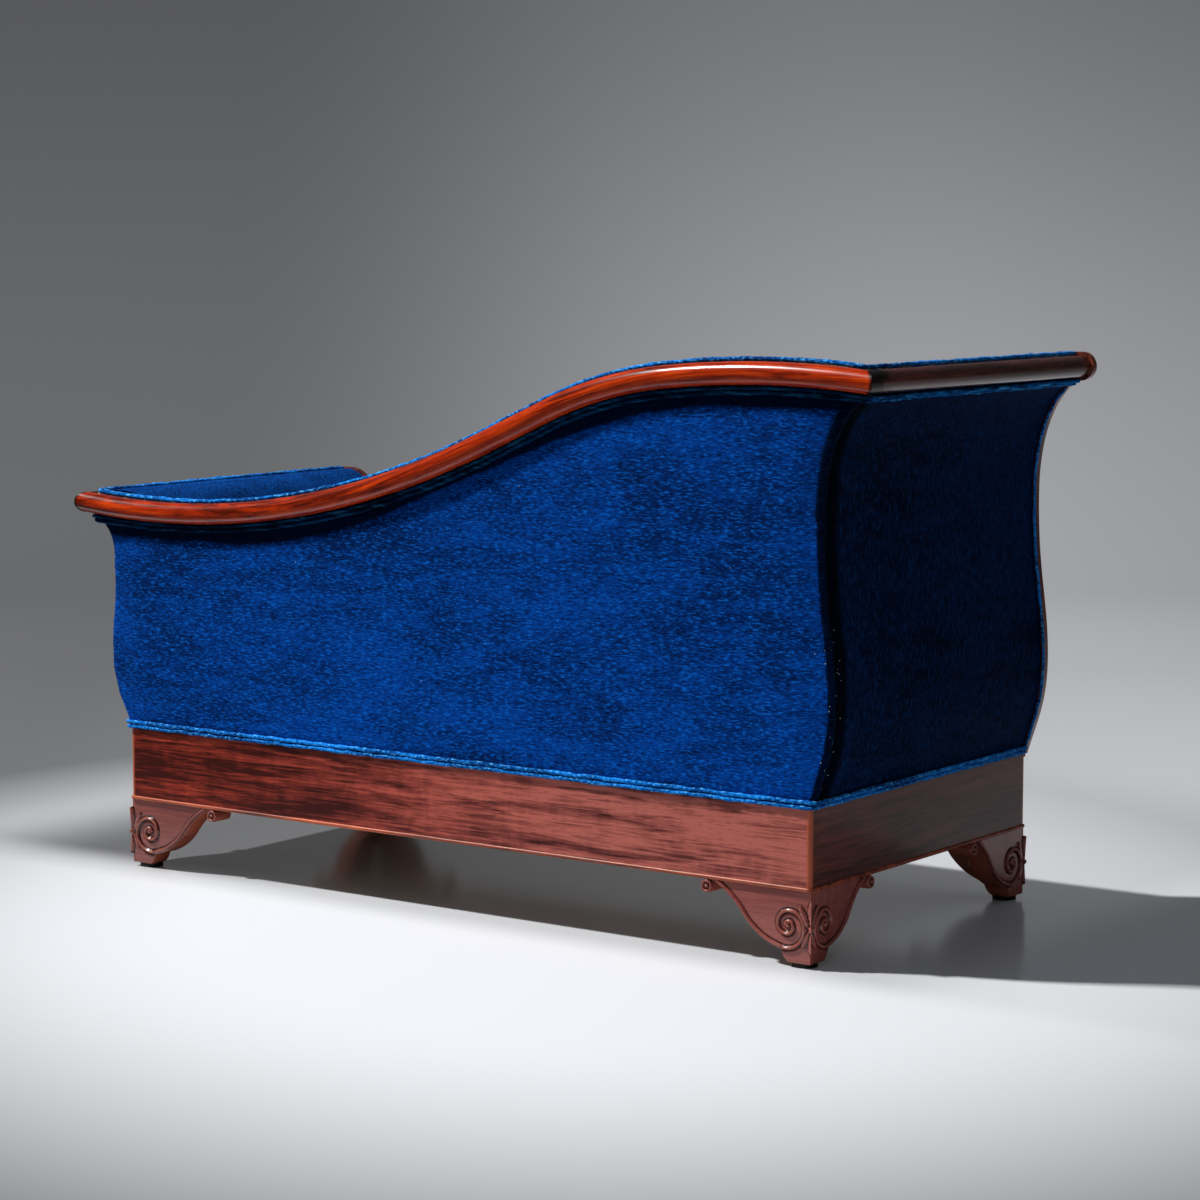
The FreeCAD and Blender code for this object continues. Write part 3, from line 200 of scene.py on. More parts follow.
class Surface(Graph):
    """The node tree of one material, round its main shader."""

    def __init__(self, material: bpy.types.Material) -> None:
        """Adds the material's output and main shader."""
        material.use_nodes = True
        super().__init__(material.node_tree)
        self.shader = self.tree.nodes.new("ShaderNodeBsdfPrincipled")
        self.node("ShaderNodeOutputMaterial", {}, {"Surface": self.shader.outputs[0]})
        self.place = self.node("ShaderNodeTexCoord", {}, {}, "Object")

    def scaled(self, scale: Sequence[float]) -> Sock:
        """The object's own coordinates, times a scale per axis."""
        return self.node("ShaderNodeVectorMath", {"operation": "MULTIPLY"},
                         {0: self.place, 1: tuple(scale)})

    def noise(self, scale: Sequence[float], detail: float = 3.0, rough: float = 0.55,
              warp: float = 0.0) -> Sock:
        """Noise in metres, whose grains are 1/scale long along each axis."""
        return self.node("ShaderNodeTexNoise", {},
                         {"Vector": self.scaled(scale), "Scale": 1.0, "Detail": detail,
                          "Roughness": rough, "Distortion": warp})

    def axes(self) -> tuple[Sock, Sock, Sock]:
        """X, Y and Z of the place on the surface, in metres."""
        split = self.tree.nodes.new("ShaderNodeSeparateXYZ")
        self.link(self.place, split.inputs[0])
        return tuple(Sock(self, output) for output in split.outputs)

    def above_rail(self) -> Sock:
        """Height over the back rail's axis, from a smooth step close to its sweep."""
        x, _, z = self.axes()
        start, end = RAIL_CLIMB
        return z - x.step(start, end) * RAIL_GAIN - RAIL_START

    def specks(self, pitch: float, radius: float, share: Any) -> Sock:
        """Small round specks.

        Args:
            pitch: the mean distance between the places where one may lie.
            radius: how big a speck is.
            share: how many of the places have one, from 0 to 1.

        Returns:
            One on a speck, zero elsewhere.
        """
        place = self.scaled((1.0 / pitch,) * 3)
        sockets = {"Vector": place, "Scale": 1.0}
        gap = self.node("ShaderNodeTexVoronoi", {}, sockets, "Distance")
        draw = self.node("ShaderNodeTexVoronoi", {}, sockets, "Color")
        chance = self.node("ShaderNodeSeparateColor", {}, {"Color": draw}, "Red")
        return gap.step(radius / pitch, radius / pitch * 0.6) * (share - chance > 0.0)

    def bump(self, height: Sock, depth: float, strength: float = 1.0) -> None:
        """Feeds the shader's normal from a height of 0 to 1, so many metres deep."""
        bent = self.node("ShaderNodeBump", {}, {"Height": height, "Distance": depth,
                                                "Strength": strength})
        self.link(bent, self.shader.inputs["Normal"])

    def set(self, **sockets: Any) -> None:
        """Gives the main shader's sockets values or links, an underscore for each space."""
        for name, value in sockets.items():
            self.link(value, self.shader.inputs[name.replace("_", " ")])


# Colours of dirt and wear, and of painted light and shade

LINT_GREY = (0.50, 0.66, 0.80)
# Painted shadow: the colour of the back rail's cast shadow on the velvet.
SHADED_PILE = (0.0001, 0.0015, 0.011)
# Pile pressed flat, and painted shade, beside the corner seams and behind the rail.
CRUSHED_AND_SHADED_PILE = (0.0001, 0.0004, 0.002)
# Painted reflection: the back board is redder towards the low end, where less reflected haze
# greys it than at the high end.
RED_TOWARDS_LOW_END = (1.0, 0.42, 0.24)
# Darker near the mitres at the back corners.
DARK_AT_MITRES = (0.004, 0.002, 0.002)
# Painted highlight on the plinth's rounded upright corners.
ARRIS_HIGHLIGHT = (0.46, 0.100, 0.040)
# Wax and painted shade in the carving's hollows.
WAX_AND_SHADE_IN_HOLLOWS = (0.010, 0.003, 0.002)
# Wear and painted highlight on the carving's raised edges.
WORN_AND_HIGHLIT_CARVING = (0.34, 0.085, 0.04)
SCRATCHED_WOOD = (0.50, 0.27, 0.20)


# Finishes

@dataclass(frozen=True)
class Finish:
    """A finish, made into a material once."""

    name: str
    slot: str

    def paint(self, graph: Surface) -> None:
        """Builds the nodes of the finish."""
        raise NotImplementedError

    def material(self) -> bpy.types.Material:
        """The finish's material, built the first time it is asked for."""
        found = bpy.data.materials.get(self.name)
        if found is None:
            found = bpy.data.materials.new(self.name)
            self.paint(Surface(found))
        return found


@dataclass(frozen=True)
class Lint:
    """Where pale lint gathers on velvet: a box in metres, and the share of its places."""

    low: Triple
    high: Triple
    share: float

    def inside(self, graph: Surface) -> Sock:
        """One inside the box, zero outside it."""
        shares = [(axis - low > 0.0) * (high - axis > 0.0)
                  for axis, low, high in zip(graph.axes(), self.low, self.high)]
        return shares[0] * shares[1] * shares[2]


@dataclass(frozen=True)
class Velvet(Finish):
    """Mohair velvet: short horizontal flecks, brushed patches and a soft sheen."""

    pile: Colour = (0.0010, 0.070, 0.36)
    shade: Colour = (0.0004, 0.030, 0.170)
    fleck: Colour = (0.006, 0.165, 0.66)
    deep: Colour = (0.0002, 0.012, 0.075)
    sheen: float = 0.10
    flecks: Triple = (170.0, 170.0, 360.0)
    lint: Lint | None = None
    seam_y: float | None = None
    seam_marked: bool = False
    seam_dark_share: float = 0.93
    shaded: float = 0.0

    def paint(self, graph: Surface) -> None:
        """Builds the velvet's nodes."""
        patches = graph.noise((2.6, 2.6, 4.2), 4.0, 0.62, 0.7)
        brushed = graph.noise((8.0, 8.0, 38.0), 4.0, 0.60, 0.9)
        flecks = graph.noise(self.flecks, 4.0, 0.68)
        grain = graph.noise((800.0, 800.0, 1100.0), 1.0, 0.5)
        tone = patches * 0.45 + brushed * 0.38 + flecks * 0.17
        colour = graph.mix(tone.step(0.40, 0.58), self.shade, self.pile)
        colour = graph.mix(flecks.step(0.52, 0.66) * 0.85, colour, self.fleck)
        colour = graph.mix(flecks.step(0.48, 0.34) * 0.90, colour, self.deep)
        colour = graph.mix(grain.step(0.5, 0.30) * 0.35, colour, self.deep)
        colour = self.under_rail(graph, self.near_seam(graph, colour))
        colour = self.with_lint(graph, colour)
        graph.set(Base_Color=colour, Roughness=grain * 0.2 + 0.68, Sheen_Weight=self.sheen,
                  Sheen_Roughness=0.42, Sheen_Tint=(0.10, 0.40, 1.0),
                  Specular_IOR_Level=0.04, Specular_Tint=(0.15, 0.45, 1.0))
        graph.bump(flecks * 0.7 + grain * 0.3, 0.0012, 0.6)

    def under_rail(self, graph: Surface, colour: Sock) -> Sock:
        """Paints the back rail's cast shadow: a dark band on the pile just below the rail."""
        if self.shaded == 0.0:
            return colour
        wander = graph.noise((14.0, 14.0, 14.0), 3.0) * 0.008
        band = (graph.above_rail() + wander).step(-0.048, -0.041)
        # Painted shadow of the back rail.
        return graph.mix(band * self.shaded, colour, SHADED_PILE)

    def near_seam(self, graph: Surface, colour: Sock) -> Sock:
        """Darkens the pile behind a depth or where marked: pile pressed flat and painted shade
        at the corner seams, painted shade on the lower welts behind the rail.
        """
        if self.seam_y is None and not self.seam_marked:
            return colour
        wander = graph.noise((1.0, 1.0, 11.0), 2.0)
        if self.seam_marked:
            mark = graph.node("ShaderNodeAttribute", {"attribute_name": "seam"}, {}, "Fac")
            band = (mark + wander * 0.3).step(0.45, 0.75)
        else:
            across = graph.axes()[1] + wander * 0.022
            band = across.step(self.seam_y - 0.036, self.seam_y - 0.020)
        # Pile pressed flat, and painted shade.
        return graph.mix(band * self.seam_dark_share, colour, CRUSHED_AND_SHADED_PILE)

    def with_lint(self, graph: Surface, colour: Sock) -> Sock:
        """Adds a few tiny pale specks, and more inside the lint's box."""
        shown = graph.specks(0.016, 0.0009, 0.035)
        if self.lint is not None:
            near = graph.specks(0.0075, 0.0011, self.lint.share)
            shown = shown.maths("MAXIMUM", near * self.lint.inside(graph))
        return graph.mix(shown * 0.85, colour, LINT_GREY)


class Grain(Enum):
    """The way the wood's grain runs, as a scale per axis along and across it."""

    LENGTH = (1.0, 9.0, 9.0)
    DEPTH = (9.0, 1.0, 9.0)
    UPRIGHT = (9.0, 9.0, 1.0)


@dataclass(frozen=True)
class Scratch:
    """A pale scratch on a face that looks along Y: its ends in x and z, and its width."""

    start: tuple[float, float]
    end: tuple[float, float]
    width: float = 0.0007


@dataclass(frozen=True)
class Mahogany(Finish):
    """Polished mahogany: streaks along the grain, flame figure across it, dark pores."""

    dark: Colour = (0.030, 0.0065, 0.0045)
    middle: Colour = (0.115, 0.024, 0.014)
    light: Colour = (0.235, 0.062, 0.030)
    grain: Grain = Grain.LENGTH
    figure: float = 0.35
    gloss: float = 0.24
    coat: float = 0.5
    coat_rough: float = 0.12
    # How much redder towards the low end the painted reflection makes the board.
    redder_to_low_end: float = 0.0
    shine: float = 0.35
    scratch: Scratch | None = None
    joint: tuple[float, ...] = ()
    joint_reach: float = 0.008
    # How much the painted light darkens the wood towards the low end.
    darker_to_low_end: float = 0.0
    swept: bool = False
    # Gives the plinth's upright corners a painted highlight.
    arris: bool = False
    arris_highlight: tuple[float, float] = (0.0085, 0.004)
    carved: bool = False

    def stretched(self, along: float, across: float) -> tuple[float, ...]:
        """A noise scale with one value along the grain and one across it."""
        return tuple(along if axis == 1.0 else across for axis in self.grain.value)

    def paint(self, graph: Surface) -> None:
        """Builds the wood's nodes."""
        if self.swept:
            self.follow_rail(graph)
        streaks = graph.noise(self.stretched(5.0, 105.0), 5.0, 0.68, 0.9)
        fine = graph.noise(self.stretched(16.0, 320.0), 3.0, 0.6, 0.3)
        flame = graph.noise(self.stretched(17.0, 9.0), 3.0, 0.5, 1.6)
        bands = graph.noise(self.stretched(2.6, 20.0), 3.0, 0.55, 1.1)
        pores = graph.noise(self.stretched(60.0, 1200.0), 1.0, 0.5)
        value = streaks * 0.46 + fine * 0.24 + bands * 0.30
        # Painted light: darker towards the low end and lighter towards the high end, standing
        # in for how light and reflected haze fall along the piece.
        value = value + (flame - 0.5) * self.figure * 0.20 - graph.axes()[0] * self.darker_to_low_end
        colour = graph.ramp(value, [(0.42, self.dark), (0.50, self.middle),
                                    (0.59, self.light)])
        colour = graph.mix(pores.step(0.42, 0.30) * 0.5, colour, self.dark)
        # Painted reflection: redder towards the low end, where the board reflects less pale
        # haze.
        if self.redder_to_low_end:
            share = graph.axes()[0].step(-0.40, 0.60) * self.redder_to_low_end
            colour = graph.mix(share, colour, RED_TOWARDS_LOW_END, "MULTIPLY")
        colour = self.with_scratch(graph, colour)
        coat: Any = self.coat
        if self.joint:
            mitre = self.mitres(graph)
            # Darker, and without coat, near the mitres.
            colour = graph.mix(mitre * 0.95, colour, DARK_AT_MITRES)
            coat = (1.0 - mitre) * self.coat
        colour = self.worn_and_painted_light(graph, colour)
        haze = graph.noise((24.0, 24.0, 24.0), 4.0, 0.6)
        graph.set(Base_Color=colour, Roughness=haze * 0.12 + fine * 0.08 + self.gloss,
                  Coat_Weight=coat, Coat_Roughness=self.coat_rough,
                  Specular_IOR_Level=self.shine)
        graph.bump(pores * 0.3 + fine * 0.7, 0.00012, 0.6)

    @staticmethod
    def follow_rail(graph: Surface) -> None:
        """Bends the coordinates so that the grain runs along the back rail's sweep."""
        x, y, _ = graph.axes()
        sockets = {0: x, 1: y, 2: graph.above_rail() + RAIL_GRAIN}
        graph.place = graph.node("ShaderNodeCombineXYZ", {}, sockets)

    def worn_and_painted_light(self, graph: Surface, colour: Sock) -> Sock:
        """Paints a highlight on the plinth's upright corners, darkens the carving's hollows
        with wax and painted shade, and lightens its raised edges with wear and a painted
        highlight.
        """
        # Painted highlight along the plinth's upright corners.
        if self.arris:
            x, y, _ = graph.axes()
            across = abs(x - (PLINTH_LOW.x + PLINTH_HIGH.x) / 2.0)
            along = abs(y - (BACK_Y + FRONT_Y) / 2.0)
            reach = (PLINTH_HIGH.x - PLINTH_LOW.x) / 2.0, (BACK_Y - FRONT_Y) / 2.0
            begin, full = self.arris_highlight
            highlit = (across.step(reach[0] - begin, reach[0] - full)
                      * along.step(reach[1] - begin, reach[1] - full))
            colour = graph.mix(highlit * 0.85, colour, ARRIS_HIGHLIGHT)
        if self.carved:
            bent = graph.node("ShaderNodeNewGeometry", {}, {}, "Pointiness")
            # Wax and painted shade in the hollows; wear and painted highlight on the raised
            # edges.
            colour = graph.mix(bent.step(0.497, 0.46) * 0.85, colour, WAX_AND_SHADE_IN_HOLLOWS)
            colour = graph.mix(bent.step(0.51, 0.56) * 0.6, colour, WORN_AND_HIGHLIT_CARVING)
        return colour

    def mitres(self, graph: Surface) -> Sock:
        """One near the mitres at the back corners: a thin dark line on the back rail, a wider
        dark patch on the end rails.
        """
        x, y, _ = graph.axes()
        shown: Any = 0.0
        for corner in self.joint:
            away = (corner - x) if corner > 0.0 else (x - corner)
            gap = abs(away + y - (BACK_Y + RAIL_OVERHANG)) * math.sqrt(0.5)
            ragged = graph.noise((70.0, 70.0, 70.0), 2.0) * self.joint_reach
            reach = self.joint_reach * 1.35, self.joint_reach * 0.75
            shown = (gap + ragged).step(*reach) + shown
        return shown

    def with_scratch(self, graph: Surface, colour: Sock) -> Sock:
        """Adds the pale scratch, if the board has one."""
        if self.scratch is None:
            return colour
        (x0, z0), (x1, z1) = self.scratch.start, self.scratch.end
        x, _, z = graph.axes()
        slope = (z1 - z0) / (x1 - x0)
        ragged = graph.noise((60.0, 60.0, 60.0), 2.0) * 0.003
        line = abs(z - ((x - x0) * slope + z0) + ragged - 0.0015)
        middle, half = (x0 + x1) / 2.0, abs(x1 - x0) / 2.0
        span = abs(x - middle).step(half, half * 0.8)
        broken = graph.noise((90.0, 90.0, 300.0), 2.0).step(0.38, 0.56)
        return graph.mix(line.step(self.scratch.width, 0.0) * span * broken * 0.75,
                         colour, SCRATCHED_WOOD)


@dataclass(frozen=True)
class PlainWood(Finish):
    """Unpolished frame wood with rays and streaks."""

    dark: Colour = (0.30, 0.185, 0.095)
    light: Colour = (0.52, 0.36, 0.21)
    grain: Grain = Grain.LENGTH

    def paint(self, graph: Surface) -> None:
        """Builds the wood's nodes."""
        along = tuple(3.0 if axis == 1.0 else 60.0 for axis in self.grain.value)
        streaks = graph.noise(along, 5.0, 0.6, 0.4)
        rays = graph.noise((420.0, 420.0, 90.0), 1.0)
        colour = graph.ramp(streaks + rays * 0.12 - 0.06,
                            [(0.32, self.dark), (0.62, self.light)])
        graph.set(Base_Color=colour, Roughness=streaks * 0.2 + 0.6)
        graph.bump(streaks * 0.5 + rays * 0.5, 0.0003, 0.6)


@dataclass(frozen=True)
class Weave(Finish):
    """Coarse plain weave: hessian or webbing."""

    dark: Colour = (0.16, 0.10, 0.05)
    light: Colour = (0.48, 0.35, 0.20)
    pitch: float = 0.0016

    def paint(self, graph: Surface) -> None:
        """Builds warp and weft as crossed waves, with slubs."""
        x, y, z = graph.axes()
        turn = 2.0 * math.pi / self.pitch
        warp = ((x + z * 0.5) * turn).maths("SINE")
        weft = ((y + z * 0.5) * turn).maths("SINE")
        slubs = graph.noise((220.0, 220.0, 220.0), 3.0)
        threads = warp * weft * 0.5 + 0.5
        colour = graph.ramp(threads * 0.6 + slubs * 0.4,
                            [(0.22, self.dark), (0.62, self.light)])
        graph.set(Base_Color=colour, Roughness=slubs * 0.15 + 0.8)
        graph.bump(threads * 0.7 + slubs * 0.3, 0.0005, 0.8)


@dataclass(frozen=True)
class Metal(Finish):
    """Steel or iron with a little rust or bluing."""

    bright: Colour = (0.42, 0.41, 0.39)
    stain: Colour = (0.16, 0.085, 0.045)
    stained: float = 0.35
    rough: float = 0.34

    def paint(self, graph: Surface) -> None:
        """Builds the metal's nodes."""
        spots = graph.noise((130.0, 130.0, 130.0), 4.0, 0.65)
        drawn = graph.noise((900.0, 900.0, 120.0), 2.0)
        rust = spots.step(0.50, 0.68) * self.stained
        graph.set(Base_Color=graph.mix(rust, self.bright, self.stain),
                  Metallic=1.0 - rust * 0.8, Roughness=rust * 0.35 + drawn * 0.12 + self.rough)
        graph.bump(spots * 0.5 + drawn * 0.5, 0.00015, 0.5)


# Points and meshes

def bezier(poles: Sequence[Sequence[float]], count: int) -> Points:
    """Points along a cubic curve.

    Args:
        poles: its four control points.
        count: how many points are wanted, both ends among them.

    Returns:
        The points, one row each.
    """
    t = np.linspace(0.0, 1.0, count)[:, None]
    p0, p1, p2, p3 = (np.array(pole, dtype=float) for pole in poles)
    s = 1.0 - t
    return s ** 3 * p0 + 3.0 * s * s * t * p1 + 3.0 * s * t * t * p2 + t ** 3 * p3


def evenly(points: Points, step: float) -> Points:
    """The same polyline with points about one step apart."""
    lengths = np.linalg.norm(np.diff(points, axis=0), axis=1)
    along = np.concatenate([[0.0], np.cumsum(lengths)])
    places = np.linspace(0.0, along[-1], max(2, int(round(along[-1] / step)) + 1))
    return np.stack([np.interp(places, along, points[:, i]) for i in range(3)], axis=1)


def heading(path: Points) -> Points:
    """The unit direction of a line at each of its points."""
    way = np.gradient(path, axis=0)
    return way / np.linalg.norm(way, axis=1)[:, None]


def square_to(path: Points) -> Points:
    """The unit direction square to a flat line, on its right, at each of its points."""
    way = heading(path)
    return np.stack([way[:, 1], -way[:, 0]], axis=1)


def softened(points: Points, rounds: int) -> Points:
    """The polyline with its corners eased, its ends kept."""
    eased = points.copy()
    for _ in range(rounds):
        eased[1:-1] = (eased[:-2] + 2.0 * eased[1:-1] + eased[2:]) / 4.0
    return eased


def wander(count: int, seed: int, reach: int) -> Points:
    """A smooth random line of about unit size, reach points to a swing."""
    rough = np.random.default_rng(seed).normal(size=count + 4 * reach)
    window = np.hanning(2 * reach + 1)
    smooth = np.convolve(rough, window / np.sqrt((window ** 2).sum()), mode="same")
    return smooth[2 * reach:2 * reach + count]


class Shape:
    """Points and faces that become one mesh."""

    def __init__(self) -> None:
        """Starts with nothing in it."""
        self.points: list[Points] = []
        self.faces: list[tuple[int, ...]] = []
        self.count = 0

    def add(self, points: Points, faces: Iterable[tuple[int, ...]]) -> None:
        """Adds points, and faces that are numbered from the first of them."""
        flat = np.asarray(points, dtype=float).reshape(-1, 3)
        self.points.append(flat)
        self.faces += [tuple(i + self.count for i in face) for face in faces]
        self.count += len(flat)

    def slab(self, front: Points, back: Points) -> None:
        """Adds a closed sheet between two grids of the same size, shaped (n, m, 3)."""
        n, m = front.shape[:2]
        faces = []
        for i in range(n - 1):
            for j in range(m - 1):
                a = i * m + j
                faces.append((a, a + 1, a + m + 1, a + m))
                b = a + n * m
                faces.append((b, b + m, b + m + 1, b + 1))
        rim = [(i, 0) for i in range(n)] + [(n - 1, j) for j in range(1, m)]
        rim += [(i, m - 1) for i in range(n - 2, -1, -1)]
        rim += [(0, j) for j in range(m - 2, 0, -1)]
        ring = [i * m + j for i, j in rim]
        for a, b in zip(ring, ring[1:] + ring[:1]):
            faces.append((a, b, b + n * m, a + n * m))
        self.add(np.concatenate([front.reshape(-1, 3), back.reshape(-1, 3)]), faces)

    @staticmethod
    def rings(count: int, sides: int) -> list[tuple[int, ...]]:
        """The faces between rings of points in a row, and the caps at both ends."""
        faces: list[tuple[int, ...]] = []
        for i in range(count - 1):
            for j in range(sides):
                k = (j + 1) % sides
                faces.append((i * sides + j, i * sides + k,
                              (i + 1) * sides + k, (i + 1) * sides + j))
        last = (count - 1) * sides
        faces.append(tuple(range(sides - 1, -1, -1)))
        faces.append(tuple(range(last, last + sides)))
        return faces

    def tube(self, path: Points, radius: float | Points, sides: int = 12) -> None:
        """Adds a round cord along a path, closed at both ends."""
        tangent = heading(path)
        across = np.zeros_like(path)
        side = np.cross(tangent[0], (0.0, 0.0, 1.0))
        if np.linalg.norm(side) < 0.1:
            side = np.cross(tangent[0], (0.0, 1.0, 0.0))
        for i, way in enumerate(tangent):
            side = side - way * side.dot(way)
            side = side / np.linalg.norm(side)
            across[i] = side
        up = np.cross(tangent, across)
        radii = np.broadcast_to(np.asarray(radius, dtype=float), (len(path),))
        angle = np.linspace(0.0, 2.0 * math.pi, sides, endpoint=False)
        ring = (across[:, None, :] * np.cos(angle)[None, :, None]
                + up[:, None, :] * np.sin(angle)[None, :, None])
        points = path[:, None, :] + ring * radii[:, None, None]
        self.add(points, self.rings(len(path), sides))

    def turned(self, centre: Points, axis: Points, profile: Points, sides: int) -> None:
        """Adds a turned form: the profile's rows are (radius, distance along the axis)."""
        axis = axis / np.linalg.norm(axis)
        first = np.cross(axis, (0.0, 0.0, 1.0))
        first = first / np.linalg.norm(first)
        second = np.cross(axis, first)
        angle = np.linspace(0.0, 2.0 * math.pi, sides, endpoint=False)
        ring = np.cos(angle)[:, None] * first + np.sin(angle)[:, None] * second
        rows = [centre + axis * along + ring * radius for radius, along in profile]
        self.add(np.concatenate(rows), self.rings(len(profile), sides))

    def object(self, name: str, sharp: float = 40.0) -> bpy.types.Object:
        """Makes the object.

        Args:
            name: its name.
            sharp: edges that turn by more degrees than this look sharp.

        Returns:
            The object, linked into the scene.
        """
        mesh = bpy.data.meshes.new(name)
        mesh.from_pydata(np.concatenate(self.points).tolist(), [], self.faces)
        work = bmesh.new()
        work.from_mesh(mesh)
        bmesh.ops.recalc_face_normals(work, faces=work.faces)
        limit = math.radians(sharp)
        for edge in work.edges:
            edge.smooth = len(edge.link_faces) == 2 and edge.calc_face_angle() < limit
        for face in work.faces:
            face.smooth = True
        work.to_mesh(mesh)
        work.free()
        return in_scene(bpy.data.objects.new(name, mesh))


def sheet_between(front: Points, back: Points, name: str,
                  sharp: float = 40.0) -> bpy.types.Object:
    """A closed sheet between two grids of the same size, as an object."""
    shape = Shape()
    shape.slab(front, back)
    return shape.object(name, sharp)


def in_scene(piece: bpy.types.Object) -> bpy.types.Object:
    """Links an object into the scene."""
    bpy.context.scene.collection.objects.link(piece)
    return piece


def finished(piece: bpy.types.Object, finish: Finish, body: str,
             *nodes: str) -> bpy.types.Object:
    """Dresses a new piece.

    Args:
        piece: the object.
        finish: what it is finished in.
        body: the CAD body that it rides on.
        nodes: the CAD nodes that it replaces.

    Returns:
        The same object.
    """
    piece.data.materials.clear()
    piece.data.materials.append(finish.material())
    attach(piece, body)
    if nodes:
        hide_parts(*nodes)
    log.info("%s: %d points", piece.name, len(piece.data.vertices))
    return piece


def refinish(finish: Finish, *nodes: str) -> None:
    """Gives CAD nodes that stay a finish on their material slots."""
    for node in nodes:
        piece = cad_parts[node]
        for slot in piece.material_slots:
            slot.material = finish.material()
        log.info("%s keeps its CAD form", node)


# Sizes of the day bed, in metres

PLINTH_LOW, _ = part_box("plinth_high_board")
_, PLINTH_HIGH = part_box("plinth_low_board")
PLINTH_BOTTOM, PLINTH_TOP = PLINTH_LOW.z, PLINTH_HIGH.z
BACK_Y, FRONT_Y = PLINTH_HIGH.y, PLINTH_LOW.y
SEAT_LOW, SEAT_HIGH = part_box("seat_cover")
FACING_BACK_Y = FRONT_Y + 8 * MM
RAIL_RADIUS = 17 * MM
RAIL_OVERHANG = 5 * MM
WELT_RADIUS = 3.5 * MM
WELT_GAP = 0.3 * MM
WELT_OFF = WELT_RADIUS + WELT_GAP
WELT_STEP = 2.0 * WELT_RADIUS + WELT_GAP
COVER = 5 * MM
HESSIAN_THICK = 1.5 * MM
HESSIAN_IN = 33.6 * MM
PAD_IN = 35.4 * MM
CREST_BOARD_UP = 16.8 * MM
ROLL_RADIUS = 56 * MM
ROLL_RISE = 22 * MM
ROLL_SETBACK = 30 * MM
ROLL_LIMIT = 21.4 * MM
RAIL_CLIMB = (0.44, -0.52)
RAIL_START = 604.25 * MM
RAIL_GAIN = 255 * MM
RAIL_GRAIN = 0.31
WALL_AT_SEAT = 48 * MM
WALL_AT_WAIST = 58 * MM
BACK_WALL = 81 * MM
PAD_GAP = 0.6 * MM


@dataclass(frozen=True)
class EndShape:
    """The side curve of one end: distances out from the plinth, heights above the floor."""

    name: str
    side: int
    face_x: float
    rail_height: float
    overhang: float
    belly: tuple[float, float]
    waist: tuple[float, float]
    start: tuple[float, float] = (0.5, 0.35)
    flare: tuple[float, float] = (42 * MM, 20 * MM)

    @property
    def lip(self) -> tuple[float, float]:
        """Where the outer cover ends under the rail: distance out and height."""
        return self.overhang - COVER, self.rail_height - 20 * MM

    def x(self, out: Any) -> Any:
        """X of a distance out from the plinth's end."""
        return self.face_x + self.side * out

    def curve(self, inset: float = 0.0, count: int = 48) -> Points:
        """The side curve from plinth to lip, as rows of (out, height)."""
        base = PLINTH_TOP
        belly_out, belly_z = self.belly[0], base + self.belly[1]
        waist_out, waist_z = self.waist[0], base + self.waist[1]
        lip_out, lip_z = self.lip
        rise, neck, flare = belly_z - base, waist_z - belly_z, lip_z - waist_z
        pieces = [
            [(0.0, base), (belly_out * self.start[0], base + rise * self.start[1]),
             (belly_out, belly_z - rise * 0.45), (belly_out, belly_z)],
            [(belly_out, belly_z), (belly_out, belly_z + neck * 0.35),
             (waist_out, waist_z - neck * 0.5), (waist_out, waist_z)],
            [(waist_out, waist_z), (waist_out, waist_z + flare * 0.55),
             (lip_out - self.flare[0], lip_z - self.flare[1]), (lip_out, lip_z)]]
        rows = [bezier(piece, count)[i > 0:] for i, piece in enumerate(pieces)]
        path = np.concatenate(rows)
        path[:, 0] -= inset
        return path

    def contour(self, count: int = 40) -> Points:
        """The padded side, from the plinth's top to the roll's flat, as (out, height)."""
        centre_out = self.overhang - ROLL_SETBACK
        centre_z = self.rail_height + ROLL_RISE - ROLL_RADIUS
        seat, waist = -WALL_AT_SEAT, self.waist[0] - WALL_AT_WAIST
        edge = centre_out - ROLL_RADIUS
        belly_z, waist_z = PLINTH_TOP + self.belly[1], PLINTH_TOP + self.waist[1]
        neck, flare = waist_z - belly_z, centre_z - waist_z
        turn = np.linspace(math.pi, math.pi / 2.0, count // 2)[:, None]
        arc = np.array([centre_out, centre_z]) + ROLL_RADIUS * np.concatenate(
            [np.cos(turn), np.sin(turn)], axis=1)
        flat = np.array([[self.overhang - ROLL_LIMIT, centre_z + ROLL_RADIUS]])
        wall = np.linspace((seat, PLINTH_TOP), (seat, belly_z), count // 2)
        middle = bezier([(seat, belly_z), (seat, belly_z + neck * 0.35),
                         (waist, waist_z - neck * 0.5), (waist, waist_z)], count)
        upper = bezier([(waist, waist_z), (waist, waist_z + flare * 0.7),
                        (edge, centre_z - flare * 0.25), (edge, centre_z)], count)
        return np.concatenate([wall, middle[1:], upper[1:], arc[1:], flat])

    def out_at(self, z: Any, inset: float = 0.0) -> Any:
        """How far out the curve is at a height."""
        path = self.curve(inset)
        return np.interp(z, path[:, 1], path[:, 0])


HIGH_END = EndShape("high", -1, PLINTH_LOW.x, 852 * MM, 92 * MM,
                    (34 * MM, 154 * MM), (14 * MM, 416 * MM))
LOW_END = EndShape("low", 1, PLINTH_HIGH.x, 609 * MM, 84 * MM,
                   (41 * MM, 127 * MM), (32.5 * MM, 262 * MM))
ENDS = (HIGH_END, LOW_END)


